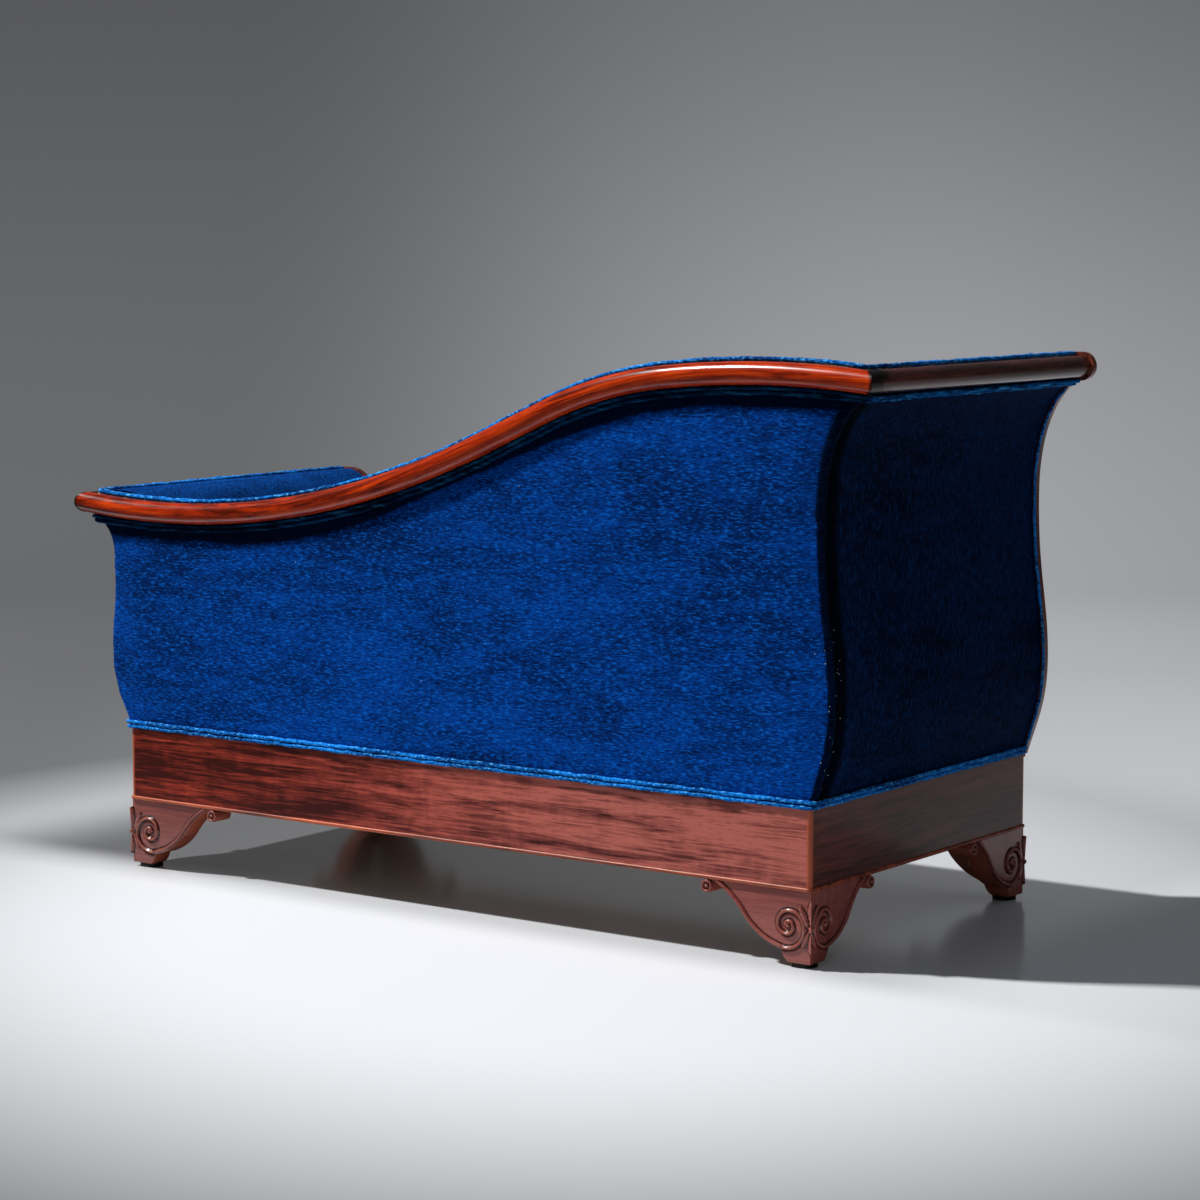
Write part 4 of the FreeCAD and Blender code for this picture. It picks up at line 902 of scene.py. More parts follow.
class Sweep:
    """The S curve of the back rail's axis, from the low end up to the high end."""

    def __init__(self) -> None:
        """Works the curve out as in the part's source, and samples it."""
        fall, crest, last = (math.radians(a) for a in (6.1, 6.3, 5.6))
        shoulder = 0.453
        start = np.array([LOW_END.x(LOW_END.overhang), LOW_END.rail_height])
        run = start[0] - HIGH_END.x(HIGH_END.overhang)
        crest_run = run * 0.23
        crest_radius = crest_run / (math.sin(crest) + math.sin(last))
        gain = HIGH_END.rail_height - start[1]
        gain -= crest_radius * (math.cos(last) - math.cos(crest))
        run -= crest_run
        steep = math.atan(2.15 * gain / run)
        run_share = math.sin(steep) + math.sin(fall)
        run_share += shoulder * (math.sin(steep) - math.sin(crest))
        gain_share = math.cos(fall) - math.cos(steep)
        gain_share += shoulder * (math.cos(crest) - math.cos(steep))
        tilt = math.tan(steep)
        radius = (run * tilt - gain) / (run_share * tilt - gain_share)
        straight = run - radius * run_share
        hollow = start + self.normal(-fall) * radius
        climb = hollow - self.normal(steep) * radius
        climb_end = climb + np.array([-straight, straight * tilt])
        hump = climb_end - self.normal(steep) * radius * shoulder
        crest_start = hump + self.normal(crest) * radius * shoulder
        crown = crest_start - self.normal(crest) * crest_radius
        rows = []
        for a in np.linspace(-fall, steep, 60):
            rows.append((*(hollow - self.normal(a) * radius), a))
        for a in np.linspace(steep, crest, 40):
            rows.append((*(hump + self.normal(a) * radius * shoulder), a))
        for a in np.linspace(crest, -last, 40)[1:]:
            rows.append((*(crown + self.normal(a) * crest_radius), a))
        self.rows = np.array(rows)

    @staticmethod
    def normal(angle: float) -> Points:
        """The direction square to a line that climbs toward the high end at an angle."""
        return np.array([math.sin(angle), math.cos(angle)])

    def line(self, up: float, y: float) -> Points:
        """The axis moved up square to itself, at a depth, from low end to high end."""
        x, z, a = self.rows.T
        return np.stack([x + np.sin(a) * up, np.full_like(x, y), z + np.cos(a) * up], axis=1)

    def height(self, x: Any, up: float) -> Any:
        """Height of the moved axis at a place along the length."""
        line = self.line(up, 0.0)[::-1]
        return np.interp(x, line[:, 0], line[:, 2])


SWEEP = Sweep()


# The finishes in use

# The back's velvet carries painted shade: the rail's shadow below the rail, and shade beside
# the high end's corner seam.
VELVET_BACK = Velvet("velvet_of_the_back", "velvet", shaded=0.95, seam_marked=True,
                     flecks=(95.0, 95.0, 400.0),
                     pile=(0.0003, 0.046, 0.300), shade=(0.0002, 0.015, 0.104),
                     fleck=(0.003, 0.135, 0.63), deep=(0.0001, 0.005, 0.034),
                     lint=Lint((-0.712, 0.24, 0.27), (-0.676, 0.40, 0.50), 0.40))
# Painted shade: the high end's velvet is a much darker copy of the low end's, for the side that
# the key light doesn't reach.
VELVET_HIGH_SHADED = Velvet("velvet_of_the_high_end", "velvet", pile=(0.0001, 0.012, 0.062),
                     shade=(0.0001, 0.004, 0.021), fleck=(0.0005, 0.036, 0.15),
                     deep=(0.0001, 0.002, 0.012), sheen=0.03, seam_y=0.31,
                     flecks=(260.0, 260.0, 80.0),
                     lint=Lint((-0.80, 0.285, 0.26), (-0.60, 0.40, 0.52), 0.45))
VELVET_LOW = Velvet("velvet_of_the_low_end", "velvet", seam_y=0.31)
VELVET_SEAT = Velvet("velvet_of_the_seat", "velvet", pile=(0.0007, 0.040, 0.22),
                     shade=(0.0003, 0.014, 0.090), fleck=(0.004, 0.10, 0.42),
                     deep=(0.0002, 0.007, 0.045), flecks=(170.0, 300.0, 360.0))
# Painted highlight: the cords' velvet is a much paler copy of the back's, so that the cords
# read as bright lines of light.
VELVET_WELT_HIGHLIT = Velvet("velvet_of_the_welts", "welt_velvet", pile=(0.006, 0.22, 0.78),
                     shade=(0.0008, 0.040, 0.21), fleck=(0.12, 0.55, 1.0), sheen=0.40,
                     flecks=(150.0, 150.0, 260.0))
# Painted shade: a darker copy of the welts' velvet for the cords under the rails, darker still
# along the back, in the rail's shadow.
VELVET_LOWER_WELT_SHADED = Velvet("velvet_of_the_lower_welts", "welt_velvet",
                           pile=(0.003, 0.16, 0.52), shade=(0.0004, 0.020, 0.10),
                           fleck=(0.05, 0.42, 0.92), deep=(0.0001, 0.004, 0.022),
                           sheen=0.08, flecks=(30.0, 30.0, 240.0), seam_y=0.343,
                           seam_dark_share=0.80)
WOOD_BACK_BOARD = Mahogany("mahogany_back_board", "mahogany_plinth", figure=0.55,
                           dark=(0.044, 0.009, 0.008), middle=(0.215, 0.050, 0.042),
                           light=(0.47, 0.128, 0.100), darker_to_low_end=0.12, arris=True,
                           coat=0.12, redder_to_low_end=0.95, shine=0.2,
                           scratch=Scratch((0.035, 0.196), (-0.105, 0.187)))
WOOD_LONG_BOARD = Mahogany("mahogany_front_board", "mahogany_plinth", figure=0.55,
                           dark=(0.070, 0.015, 0.012), middle=(0.33, 0.066, 0.045),
                           light=(0.56, 0.130, 0.080), arris=True)
# Painted shade: the end boards are a darker copy of the plinth's mahogany, for the high end's
# face that the key light doesn't reach.
WOOD_END_BOARD_SHADED = Mahogany("mahogany_end_boards", "mahogany_plinth", grain=Grain.DEPTH,
                          figure=0.4, dark=(0.048, 0.010, 0.008), coat=0.3, shine=0.22,
                          middle=(0.105, 0.022, 0.017), light=(0.175, 0.042, 0.030),
                          arris=True)
WOOD_BEAD = Mahogany("mahogany_beads", "mahogany_plinth", dark=(0.10, 0.018, 0.008),
                     middle=(0.30, 0.052, 0.018), light=(0.54, 0.115, 0.040), coat=0.1,
                     gloss=0.34, coat_rough=0.3)
MITRES = (HIGH_END.x(HIGH_END.overhang), LOW_END.x(LOW_END.overhang))
WOOD_BACK_RAIL = Mahogany("mahogany_back_rail", "mahogany_rail", swept=True,
                          dark=(0.085, 0.006, 0.001), middle=(0.36, 0.022, 0.001),
                          light=(0.62, 0.058, 0.003), gloss=0.14, coat=0.45, figure=0.25,
                          shine=0.2, darker_to_low_end=0.05, joint=MITRES, joint_reach=0.006)
# Painted shade: the end rails are a much darker copy of the back rail's mahogany, for the high
# end's rail in shade.
WOOD_END_RAIL_SHADED = Mahogany("mahogany_end_rails", "mahogany_rail", grain=Grain.DEPTH,
                         dark=(0.022, 0.005, 0.003), middle=(0.070, 0.012, 0.008),
                         light=(0.135, 0.027, 0.016), gloss=0.16, coat=0.7, figure=0.25,
                         joint=MITRES, joint_reach=0.055)
WOOD_FACING = Mahogany("mahogany_facings", "mahogany_rail", grain=Grain.UPRIGHT,
                       dark=(0.045, 0.009, 0.006), middle=(0.17, 0.034, 0.018),
                       light=(0.33, 0.080, 0.036), gloss=0.18, coat=0.7, figure=0.45)
WOOD_FOOT = Mahogany("mahogany_feet", "mahogany_foot", dark=(0.170, 0.037, 0.030),
                     middle=(0.24, 0.056, 0.045), light=(0.30, 0.078, 0.064),
                     darker_to_low_end=0.05, shine=0.25, coat=0.6, coat_rough=0.2, figure=0.25,
                     carved=True)
BEECH_LENGTH = PlainWood("beech_along", "frame_beech")
BEECH_UPRIGHT = PlainWood("beech_upright", "frame_beech", grain=Grain.UPRIGHT)
BEECH_DEPTH = PlainWood("beech_across", "frame_beech", grain=Grain.DEPTH)
HESSIAN = Weave("hessian_cloth", "hessian")
WEBBING = Weave("jute_webbing", "webbing", dark=(0.14, 0.09, 0.05),
                light=(0.50, 0.40, 0.27), pitch=0.0032)
STEEL = Metal("spring_steel", "steel")
IRON = Metal("dark_iron", "iron", bright=(0.035, 0.033, 0.032), stain=(0.05, 0.028, 0.018),
             stained=0.7, rough=0.48)


# Covers and linings stretched over the frame


@dataclass
class BackPanel:
    """A panel in the back's plane, bounded by both side curves and the rail's sweep."""

    columns: int = 230
    rows: int = 170
    seam_round: float = 6.5 * MM
    stray: float = 1.6 * MM
    bulge: float = 4.5 * MM
    seam_mark: tuple[float, float] = (15 * MM, 30 * MM)
    sunk: float = 1.8 * MM
    cloth: float = 1.2 * MM

    def plan(self, inset: float, under: float) -> tuple[Points, Points]:
        """X and Z over the panel: inset from the side curves, some way under the axis."""
        s = np.linspace(0.0, 1.0, self.columns)
        s = s - 0.035 * np.sin(2.0 * math.pi * s)
        t = np.linspace(0.0, 1.0, self.rows)[None, :]
        t = t * (1.35 - 0.35 * t)
        ends = []
        for end in ENDS:
            corner = end.lip[0] - inset
            top = min(end.lip[1], float(SWEEP.height(end.x(corner), -under)))
            z = PLINTH_TOP + t[0] * (top - PLINTH_TOP)
            ends.append((end.x(end.out_at(z, inset)), z))
        left, right = ends
        x = (1.0 - s[:, None]) * left[0][None, :] + s[:, None] * right[0][None, :]
        crown = SWEEP.height(x[:, -1], -under)[:, None]
        crown[0], crown[-1] = left[1][-1], right[1][-1]
        z = PLINTH_TOP + t * (crown - PLINTH_TOP)
        return x, z

    def edge_distance(self, x: Points, z: Points, inset: float) -> Points:
        """Distance from each point to the nearer side edge, square to that edge."""
        gaps = []
        for end in ENDS:
            lean = (end.out_at(z + MM, inset) - end.out_at(z - MM, inset)) / (2.0 * MM)
            away = (end.x(end.out_at(z, inset)) - x) * end.side
            gaps.append(away / np.sqrt(1.0 + lean ** 2))
        return np.minimum(*gaps)

    def cover(self) -> bpy.types.Object:
        """The velvet outer cover of the back, rolled over at both side seams."""
        x, z = self.plan(0.0, RAIL_RADIUS - 0.8 * MM)
        near = np.clip(self.edge_distance(x, z, 0.0), 0.0, None)
        turn = self.seam_round
        short = np.clip(turn - near, 0.0, turn)
        roll = turn - np.sqrt(np.maximum(turn ** 2 - short ** 2, 0.0))
        wave = np.sin(x * 5.3 + 1.1) * np.sin(z * 7.1 + 0.4) * 0.5
        wave += np.sin(x * 13.0 + z * 9.0) * 0.25
        pucker = np.sin(z * 95.0 + 2.0 * np.sin(z * 21.0)) * np.exp(-near / 0.02)
        foot = np.clip((z - PLINTH_TOP) / 0.02, 0.0, 1.0)
        under = np.clip((z[:, -1:] - z) / 0.05, 0.0, 1.0)
        full = foot * np.sin(under * math.pi / 2.0) * np.clip(near / 0.05, 0.0, 1.0)
        y = BACK_Y - np.minimum(roll, self.sunk) + (wave * 0.9 * MM + pucker * 0.5 * MM) * foot
        y = y + full * self.bulge
        for side, seed, share in ((-1.0, 3, 1.0), (1.0, 4, 0.3)):
            stray = wander(self.rows, seed, 4)[None, :] * self.stray * share
            reach = np.exp(-near / (12 * MM)) * (x * side > 0.0)
            x = x + side * np.abs(stray) * reach * foot
        front = np.stack([x, y, z], axis=2)
        back = np.stack([x, np.full_like(x, BACK_Y - COVER + 0.3 * MM) - roll * 0.5, z], axis=2)
        back[..., 1] = np.minimum(back[..., 1], y - self.cloth)
        piece = finished(sheet_between(front, back, "back_velvet"), VELVET_BACK, "frame",
                         "back_outer_cover")
        # The seam attribute marks where flattened pile and painted shade darken the back's
        # velvet beside the high end's corner seam.
        low, high = self.seam_mark
        reach = low + (high - low) * np.clip((z - 0.62) / 0.20, 0.0, 1.0)
        mark = np.clip(1.0 - near / reach, 0.0, 1.0) * (x < 0.0)
        seam = piece.data.attributes.new("seam", "FLOAT", "POINT")
        seam.data.foreach_set("value", np.tile(mark.ravel(), 2))
        return piece

    def lining(self) -> bpy.types.Object:
        """The hessian inside the back."""
        x, z = self.plan(PAD_IN, 30 * MM)
        weave = (np.sin(x * 41.0) + np.sin(z * 37.0)) * 0.12 * MM
        front = np.stack([x, np.full_like(x, BACK_Y - HESSIAN_IN), z], axis=2)
        back = front - np.array([0.0, HESSIAN_THICK, 0.0])
        back[..., 1] += weave
        piece = finished(sheet_between(front[::4, ::3], back[::4, ::3], "back_hessian_cloth"),
                         HESSIAN, "frame", "back_hessian")
        return piece


@dataclass
class EndPanel:
    """The outer cover and lining of one end."""

    end: EndShape
    columns: int = 110
    seam_depth: float = 8.5 * MM
    seam_width: float = 36 * MM
    deepest: float = 4.4 * MM
    seam_y: float = BACK_Y - 5.3 * MM

    def surface(self, y: Points, sunk: Callable[[Points, Points], Points],
                inset: float) -> Points:
        """Points on the side curve at each depth, sunk in square to the curve."""
        path = self.end.curve(inset, 34)
        normal = square_to(path)
        yy, zz = np.meshgrid(y, path[:, 1], indexing="ij")
        depth = sunk(yy, zz)
        out = path[None, :, 0] - depth * normal[None, :, 0]
        z = path[None, :, 1] - depth * normal[None, :, 1]
        z = np.maximum(z, PLINTH_TOP)
        return np.stack([self.end.x(out), yy, z], axis=2)

    def sunk(self, y: Points, z: Points) -> Points:
        """How deep the cover lies: a valley at the back seam, rolled at the facing."""
        back = np.clip((self.seam_y - y) / self.seam_width, 0.0, 1.0)
        front = np.clip((y - FACING_BACK_Y) / (10 * MM), 0.0, 1.0)
        valley = self.seam_depth * (1.0 - np.sin(back * math.pi / 2.0)) ** 1.3
        rolled = 2.0 * MM * (1.0 - np.sin(front * math.pi / 2.0))
        wave = np.sin(y * 8.3 + z * 3.0) * np.sin(z * 7.7 + 0.8) * 0.5 + 0.5
        pucker = np.sin(z * 110.0 + 2.0 * np.sin(z * 17.0)) * np.exp(-back * 3.0) * 0.4
        return np.minimum(valley + rolled + (wave * 1.2 + pucker) * MM, self.deepest)

    def cover(self) -> bpy.types.Object:
        """The end's velvet outer cover."""
        ease = np.linspace(0.0, 1.0, self.columns)
        y = FACING_BACK_Y + (self.seam_y - FACING_BACK_Y) * (
            ease + 0.03 * np.sin(2.0 * math.pi * ease))
        front = self.surface(y, self.sunk, 0.0)
        back = self.surface(y, lambda yy, zz: self.sunk(yy, zz) * 0.4 + 4.6 * MM, 0.0)
        name = self.end.name
        # The high end gets the darker velvet with its painted shade.
        finish = VELVET_HIGH_SHADED if self.end is HIGH_END else VELVET_LOW
        piece = finished(sheet_between(front, back, name + "_velvet"), finish, "frame",
                         name + "_outer_cover")
        return piece

    def lining(self) -> bpy.types.Object:
        """The hessian on the inside of the end's frame."""
        y = np.linspace(FACING_BACK_Y, BACK_Y - PAD_IN, 40)
        front = self.surface(y, lambda yy, zz: np.sin(yy * 47.0) * np.sin(zz * 43.0)
                             * 0.15 * MM + 0.15 * MM, HESSIAN_IN)
        back = self.surface(y, lambda yy, zz: np.zeros_like(yy), HESSIAN_IN + HESSIAN_THICK)
        name = self.end.name
        piece = finished(sheet_between(front, back, name + "_hessian_cloth"), HESSIAN,
                         "frame", name + "_hessian")
        return piece


# Padding, swollen by a short cloth simulation

def copy_of(node: str, name: str) -> bpy.types.Object:
    """A new object with a copy of a CAD node's mesh."""
    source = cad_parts[node]
    mesh = source.data.copy()
    mesh.transform(source.matrix_world)
    return in_scene(bpy.data.objects.new(name, mesh))


def baked(piece: bpy.types.Object) -> None:
    """Applies the piece's modifiers to its mesh."""
    graph = bpy.context.evaluated_depsgraph_get()
    mesh = bpy.data.meshes.new_from_object(piece.evaluated_get(graph))
    piece.modifiers.clear()
    piece.data = mesh


@dataclass
class Swelling:
    """A short cloth simulation that fills a closed form out."""

    pressure: float = 4.0
    cap: float = 6 * MM
    frames: int = 20

    def moves(self, piece: bpy.types.Object, free: Points) -> Points:
        """How far each point of the piece moves.

        Args:
            piece: the closed form, at the origin.
            free: which of its points may move.

        Returns:
            One row per point.
        """
        start = coordinates(piece.data)
        cloth = piece.modifiers.new("cloth", "CLOTH")
        cloth.settings.quality = 4
        cloth.settings.use_pressure = True
        cloth.settings.uniform_pressure_force = self.pressure
        cloth.settings.effector_weights.gravity = 0.0
        if not free.all():
            held = piece.vertex_groups.new(name="held")
            held.add(np.flatnonzero(~free).tolist(), 1.0, "REPLACE")
            cloth.settings.vertex_group_mass = held.name
        cloth.point_cache.frame_start = 1
        cloth.point_cache.frame_end = self.frames
        scene = bpy.context.scene
        for number in range(1, self.frames + 1):
            scene.frame_set(number)
        graph = bpy.context.evaluated_depsgraph_get()
        move = coordinates(piece.evaluated_get(graph).to_mesh()) - start
        piece.modifiers.clear()
        piece.vertex_groups.clear()
        scene.frame_set(1)
        size = np.linalg.norm(move, axis=1)
        return move * np.minimum(1.0, self.cap / np.maximum(size, 1e-9))[:, None]


def coordinates(mesh: bpy.types.Mesh) -> Points:
    """A mesh's points as rows."""
    flat = np.empty(len(mesh.vertices) * 3)
    mesh.vertices.foreach_get("co", flat)
    return flat.reshape(-1, 3)


def resampled(rows: Points, count: int) -> Points:
    """A polyline, or a stack of grids, with another number of evenly spaced rows."""
    old = np.linspace(0.0, 1.0, len(rows))
    new = np.linspace(0.0, 1.0, count)
    flat = rows.reshape(len(rows), -1)
    made = np.stack([np.interp(new, old, column) for column in flat.T], axis=1)
    return made.reshape((count,) + rows.shape[1:])


def section(outline: Points, rows: int) -> Points:
    """A flat polyline with another number of evenly spaced rows."""
    flat = np.concatenate([outline, np.zeros((len(outline), 1))], axis=1)
    return resampled(evenly(flat, 2 * MM), rows)[:, :2]


@dataclass
class WallPad:
    """The padded side of an end or of the back: a shown surface and a hidden one."""

    name: str
    replaced: tuple[str, ...]
    coarse: float = 11 * MM
    fine: float = 4.5 * MM
    inset: float = 2.4 * MM
    fill: float = 0.9

    def outlines(self, rows: int) -> tuple[Points, Points]:
        """The shown and the hidden line of the section, bottom to top, as many rows each."""
        raise NotImplementedError

    def grids(self, columns: int, rows: int) -> tuple[Points, Points]:
        """The shown and the hidden surface at a resolution."""
        raise NotImplementedError

    def counts(self, step: float) -> tuple[int, int]:
        """How many columns and rows make steps of about a length."""
        shown, _ = self.grids(8, 60)
        wide = np.linalg.norm(np.diff(shown, axis=0), axis=2).sum(axis=0).max()
        tall = np.linalg.norm(np.diff(shown, axis=1), axis=2).sum(axis=1).max()
        return int(wide / step), int(tall / step)

    def build(self) -> None:
        """Swells a coarse form, and carries its moves over to a fine one."""
        columns, rows = self.counts(self.coarse)
        shown, hidden = self.grids(columns, rows)
        form = sheet_between(shown, hidden, "trial_form")
        free = np.zeros((2, columns, rows), dtype=bool)
        free[0, 1:-1, 1:-1] = True
        moves = Swelling().moves(form, free.ravel())[:columns * rows]
        bpy.data.objects.remove(form)
        moves = moves.reshape(columns, rows, 3)
        columns, rows = self.counts(self.fine)
        shown, hidden = self.grids(columns, rows)
        moves = resampled(resampled(moves, columns).transpose(1, 0, 2), rows).transpose(1, 0, 2)
        piece = finished(sheet_between(shown + moves, hidden, self.name, 50.0), VELVET_SEAT,
                         "frame", *self.replaced)


@dataclass
class EndPad(WallPad):
    """The padded inner side of one end, mitred to the back's padding."""

    end: EndShape = HIGH_END

    def outlines(self, rows: int) -> tuple[Points, Points]:
        """The contour with its rolled edge, and the line along the frame behind it."""
        shown = section(self.end.contour(), rows)
        shown = shown + square_to(shown) * self.inset
        curve = self.end.curve(PAD_IN)
        curve = np.concatenate([curve, [(curve[-1, 0], self.end.rail_height + CREST_BOARD_UP)],
                                [(self.end.overhang - ROLL_LIMIT,
                                  self.end.rail_height + CREST_BOARD_UP)]])
        return shown, section(curve, rows)

    def grids(self, columns: int, rows: int) -> tuple[Points, Points]:
        """Both surfaces, from the facing back to the mitre."""
        made = []
        for outline in self.outlines(rows):
            deep = np.minimum(self.end.overhang - outline[:, 0], BACK_WALL + RAIL_OVERHANG)
            last = BACK_Y + RAIL_OVERHANG - deep - PAD_GAP
            share = np.linspace(0.0, 1.0, columns)[:, None]
            y = FACING_BACK_Y + PAD_GAP / 2.0 + (last - FACING_BACK_Y) * share
            x = np.broadcast_to(self.end.x(outline[:, 0]), y.shape)
            z = np.broadcast_to(outline[:, 1], y.shape)
            made.append(np.stack([x, np.minimum(y, last), z], axis=2))
        return made[0], made[1]


@dataclass
class BackPad(WallPad):
    """The padded inner side of the back, with its rolled edge along the sweep."""

    wall: float = 0.45

    def outlines(self, rows: int) -> tuple[Points, Points]:
        """The shown and hidden lines as (distance in from the rail's axis, height).

        The height is from 0 at the plinth to 1 at the roll's centre, and past that it is 1
        and metres above the centre.
        """
        deep = BACK_WALL + RAIL_OVERHANG
        radius = ROLL_RADIUS - self.inset
        wall = [(deep - self.inset, share) for share in np.linspace(0.0, 1.0, 60)]
        arc = [(ROLL_SETBACK + radius * math.cos(a), 1.0 + radius * math.sin(a))
               for a in np.linspace(0.0, math.pi / 2.0, 16)[1:]]
        shown = np.array(wall + arc + [(ROLL_LIMIT, 1.0 + radius)])
        back = PAD_IN + RAIL_OVERHANG
        top = 1.0 + CREST_BOARD_UP - ROLL_RISE + ROLL_RADIUS
        hidden = np.array([(back, share) for share in np.linspace(0.0, 1.0, 60)]
                          + [(back, top), (ROLL_LIMIT, top)])
        lines = []
        for outline in (shown, hidden):
            real = outline.copy()
            real[:, 1] = np.where(outline[:, 1] < 1.0, outline[:, 1] * self.wall,
                                  outline[:, 1] - 1.0 + self.wall)
            even = section(real, rows)
            even[:, 1] = np.where(even[:, 1] < self.wall, even[:, 1] / self.wall,
                                  even[:, 1] - self.wall + 1.0)
            lines.append(even)
        return lines[0], lines[1]

    def grids(self, columns: int, rows: int) -> tuple[Points, Points]:
        """Both surfaces, from the high end's mitre to the low end's."""
        made = []
        for outline in self.outlines(rows):
            share = np.linspace(0.0, 1.0, columns)
            grid = np.zeros((columns, rows, 3))
            for j, (deep, height) in enumerate(outline):
                level = min(height, 1.0)
                outs = []
                for end in ENDS:
                    z_side = PLINTH_TOP + level * (end.rail_height - PLINTH_TOP)
                    limit = float(end.out_at(z_side, PAD_IN + PAD_GAP))
                    outs.append(end.x(min(end.overhang - deep, limit) if level < 1.0
                                      else end.overhang - deep))
                x = outs[0] + (outs[1] - outs[0]) * share
                up = max(height - 1.0, 0.0) + ROLL_RISE - ROLL_RADIUS
                crown = SWEEP.height(x, up)
                grid[:, j, 0] = x
                grid[:, j, 1] = BACK_Y + RAIL_OVERHANG - deep
                grid[:, j, 2] = PLINTH_TOP + level * (crown - PLINTH_TOP)
            made.append(grid)
        return made[0], made[1]


@dataclass
class RemeshedPad:
    """A cushion or deck that starts from its CAD solid, remeshed, and swells all over."""

    name: str
    core: str
    replaced: tuple[str, ...]
    body: str = "frame"
    voxel: float = 9 * MM
    swelling: Swelling = field(default_factory=Swelling)
    fill: float = 0.9

    def build(self) -> bpy.types.Object:
        piece = copy_of(self.core, self.name)
        remesh = piece.modifiers.new("voxels", "REMESH")
        remesh.mode = "VOXEL"
        remesh.voxel_size = self.voxel
        baked(piece)
        start = coordinates(piece.data)
        low = start[:, 2].min() + self.voxel
        moved = start + self.swelling.moves(piece, start[:, 2] > low)
        piece.data.vertices.foreach_set("co", moved.ravel())
        smooth = piece.modifiers.new("smooth", "SMOOTH")
        smooth.iterations = 3
        smooth.factor = 0.4
        finer = piece.modifiers.new("finer", "SUBSURF")
        finer.levels = finer.render_levels = 1
        baked(piece)
        for face in piece.data.polygons:
            face.use_smooth = True
        finished(piece, VELVET_SEAT, self.body, *self.replaced)
        return piece


@dataclass
class Squab:
    """The loose squab cushion, with a cord round both of its edges."""

    side_room: float = 4 * MM
    cord_radius: float = 3.5 * MM
    corner: float = 26 * MM
    draw_in: float = 5 * MM
    lower_cord: float = 12 * MM
    upper_cord_drop: float = 9 * MM
    crown: float = 14 * MM

    def build(self) -> None:
        """Makes the cushion and its cords."""
        cushion = RemeshedPad("squab", "squab_core", ("squab_core", "squab_cover"), "squab",
                              swelling=Swelling(5.0, 9 * MM), fill=0.8).build()
        self.rest(cushion)
        low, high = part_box("squab_cover")
        rim = high.z - self.crown
        shape = Shape()
        tree = self.tree_of(cushion)
        for i, z in enumerate((low.z + self.lower_cord, rim - self.upper_cord_drop)):
            loop = self.loop(low, high, z)
            snapped = []
            for point in loop:
                place, normal, _, _ = tree.find_nearest(Vector(point))
                flat = Vector((normal.x, normal.y, 0.0)).normalized()
                snapped.append(place + flat * self.cord_radius * 0.7)
            path = softened(evenly(np.array(snapped), 6 * MM), 6)
            wobble = wander(len(path), 40 + i, 3) * 0.15 * MM
            path[:, 2] += wobble
            shape.tube(path, self.cord_radius + wander(len(path), 50 + i, 2) * 0.08 * MM, 10)
        finished(shape.object("squab_cords"), VELVET_WELT_HIGHLIT, "squab", "squab_piping")

    def rest(self, cushion: bpy.types.Object) -> None:
        """Keeps the cushion inside the space that its CAD solid and cords hold."""
        low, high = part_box("squab_cover")
        slack = 2.0 * self.cord_radius
        for vertex in cushion.data.vertices:
            vertex.co.x = min(max(vertex.co.x, low.x - slack), high.x + slack)
            vertex.co.y = min(max(vertex.co.y, low.y - slack), high.y + slack)
            vertex.co.z = max(vertex.co.z, low.z)

    @staticmethod
    def tree_of(piece: bpy.types.Object) -> BVHTree:
        """The piece's surface, to measure distances to."""
        return BVHTree.FromPolygons([vertex.co.copy() for vertex in piece.data.vertices],
                                    [tuple(face.vertices) for face in piece.data.polygons])

    def loop(self, low: Vector, high: Vector, z: float) -> Points:
        """A closed loop round the cushion's plan at a height."""
        corners = [(low.x, low.y), (high.x, low.y), (high.x, high.y), (low.x, high.y)]
        points = []
        for i, (cx, cy) in enumerate(corners):
            sx = 1.0 if cx > 0 else -1.0
            sy = 1.0 if cy > (low.y + high.y) / 2.0 else -1.0
            centre = (cx - sx * self.corner, cy - sy * self.corner)
            turn = math.radians((225, 315, 45, 135)[i])
            for a in np.linspace(turn - math.pi / 4.0, turn + math.pi / 4.0, 9):
                points.append((centre[0] + math.cos(a) * self.corner,
                               centre[1] + math.sin(a) * self.corner, z))
        points.append(points[0])
        return evenly(np.array(points), 20 * MM)


# Seat platform

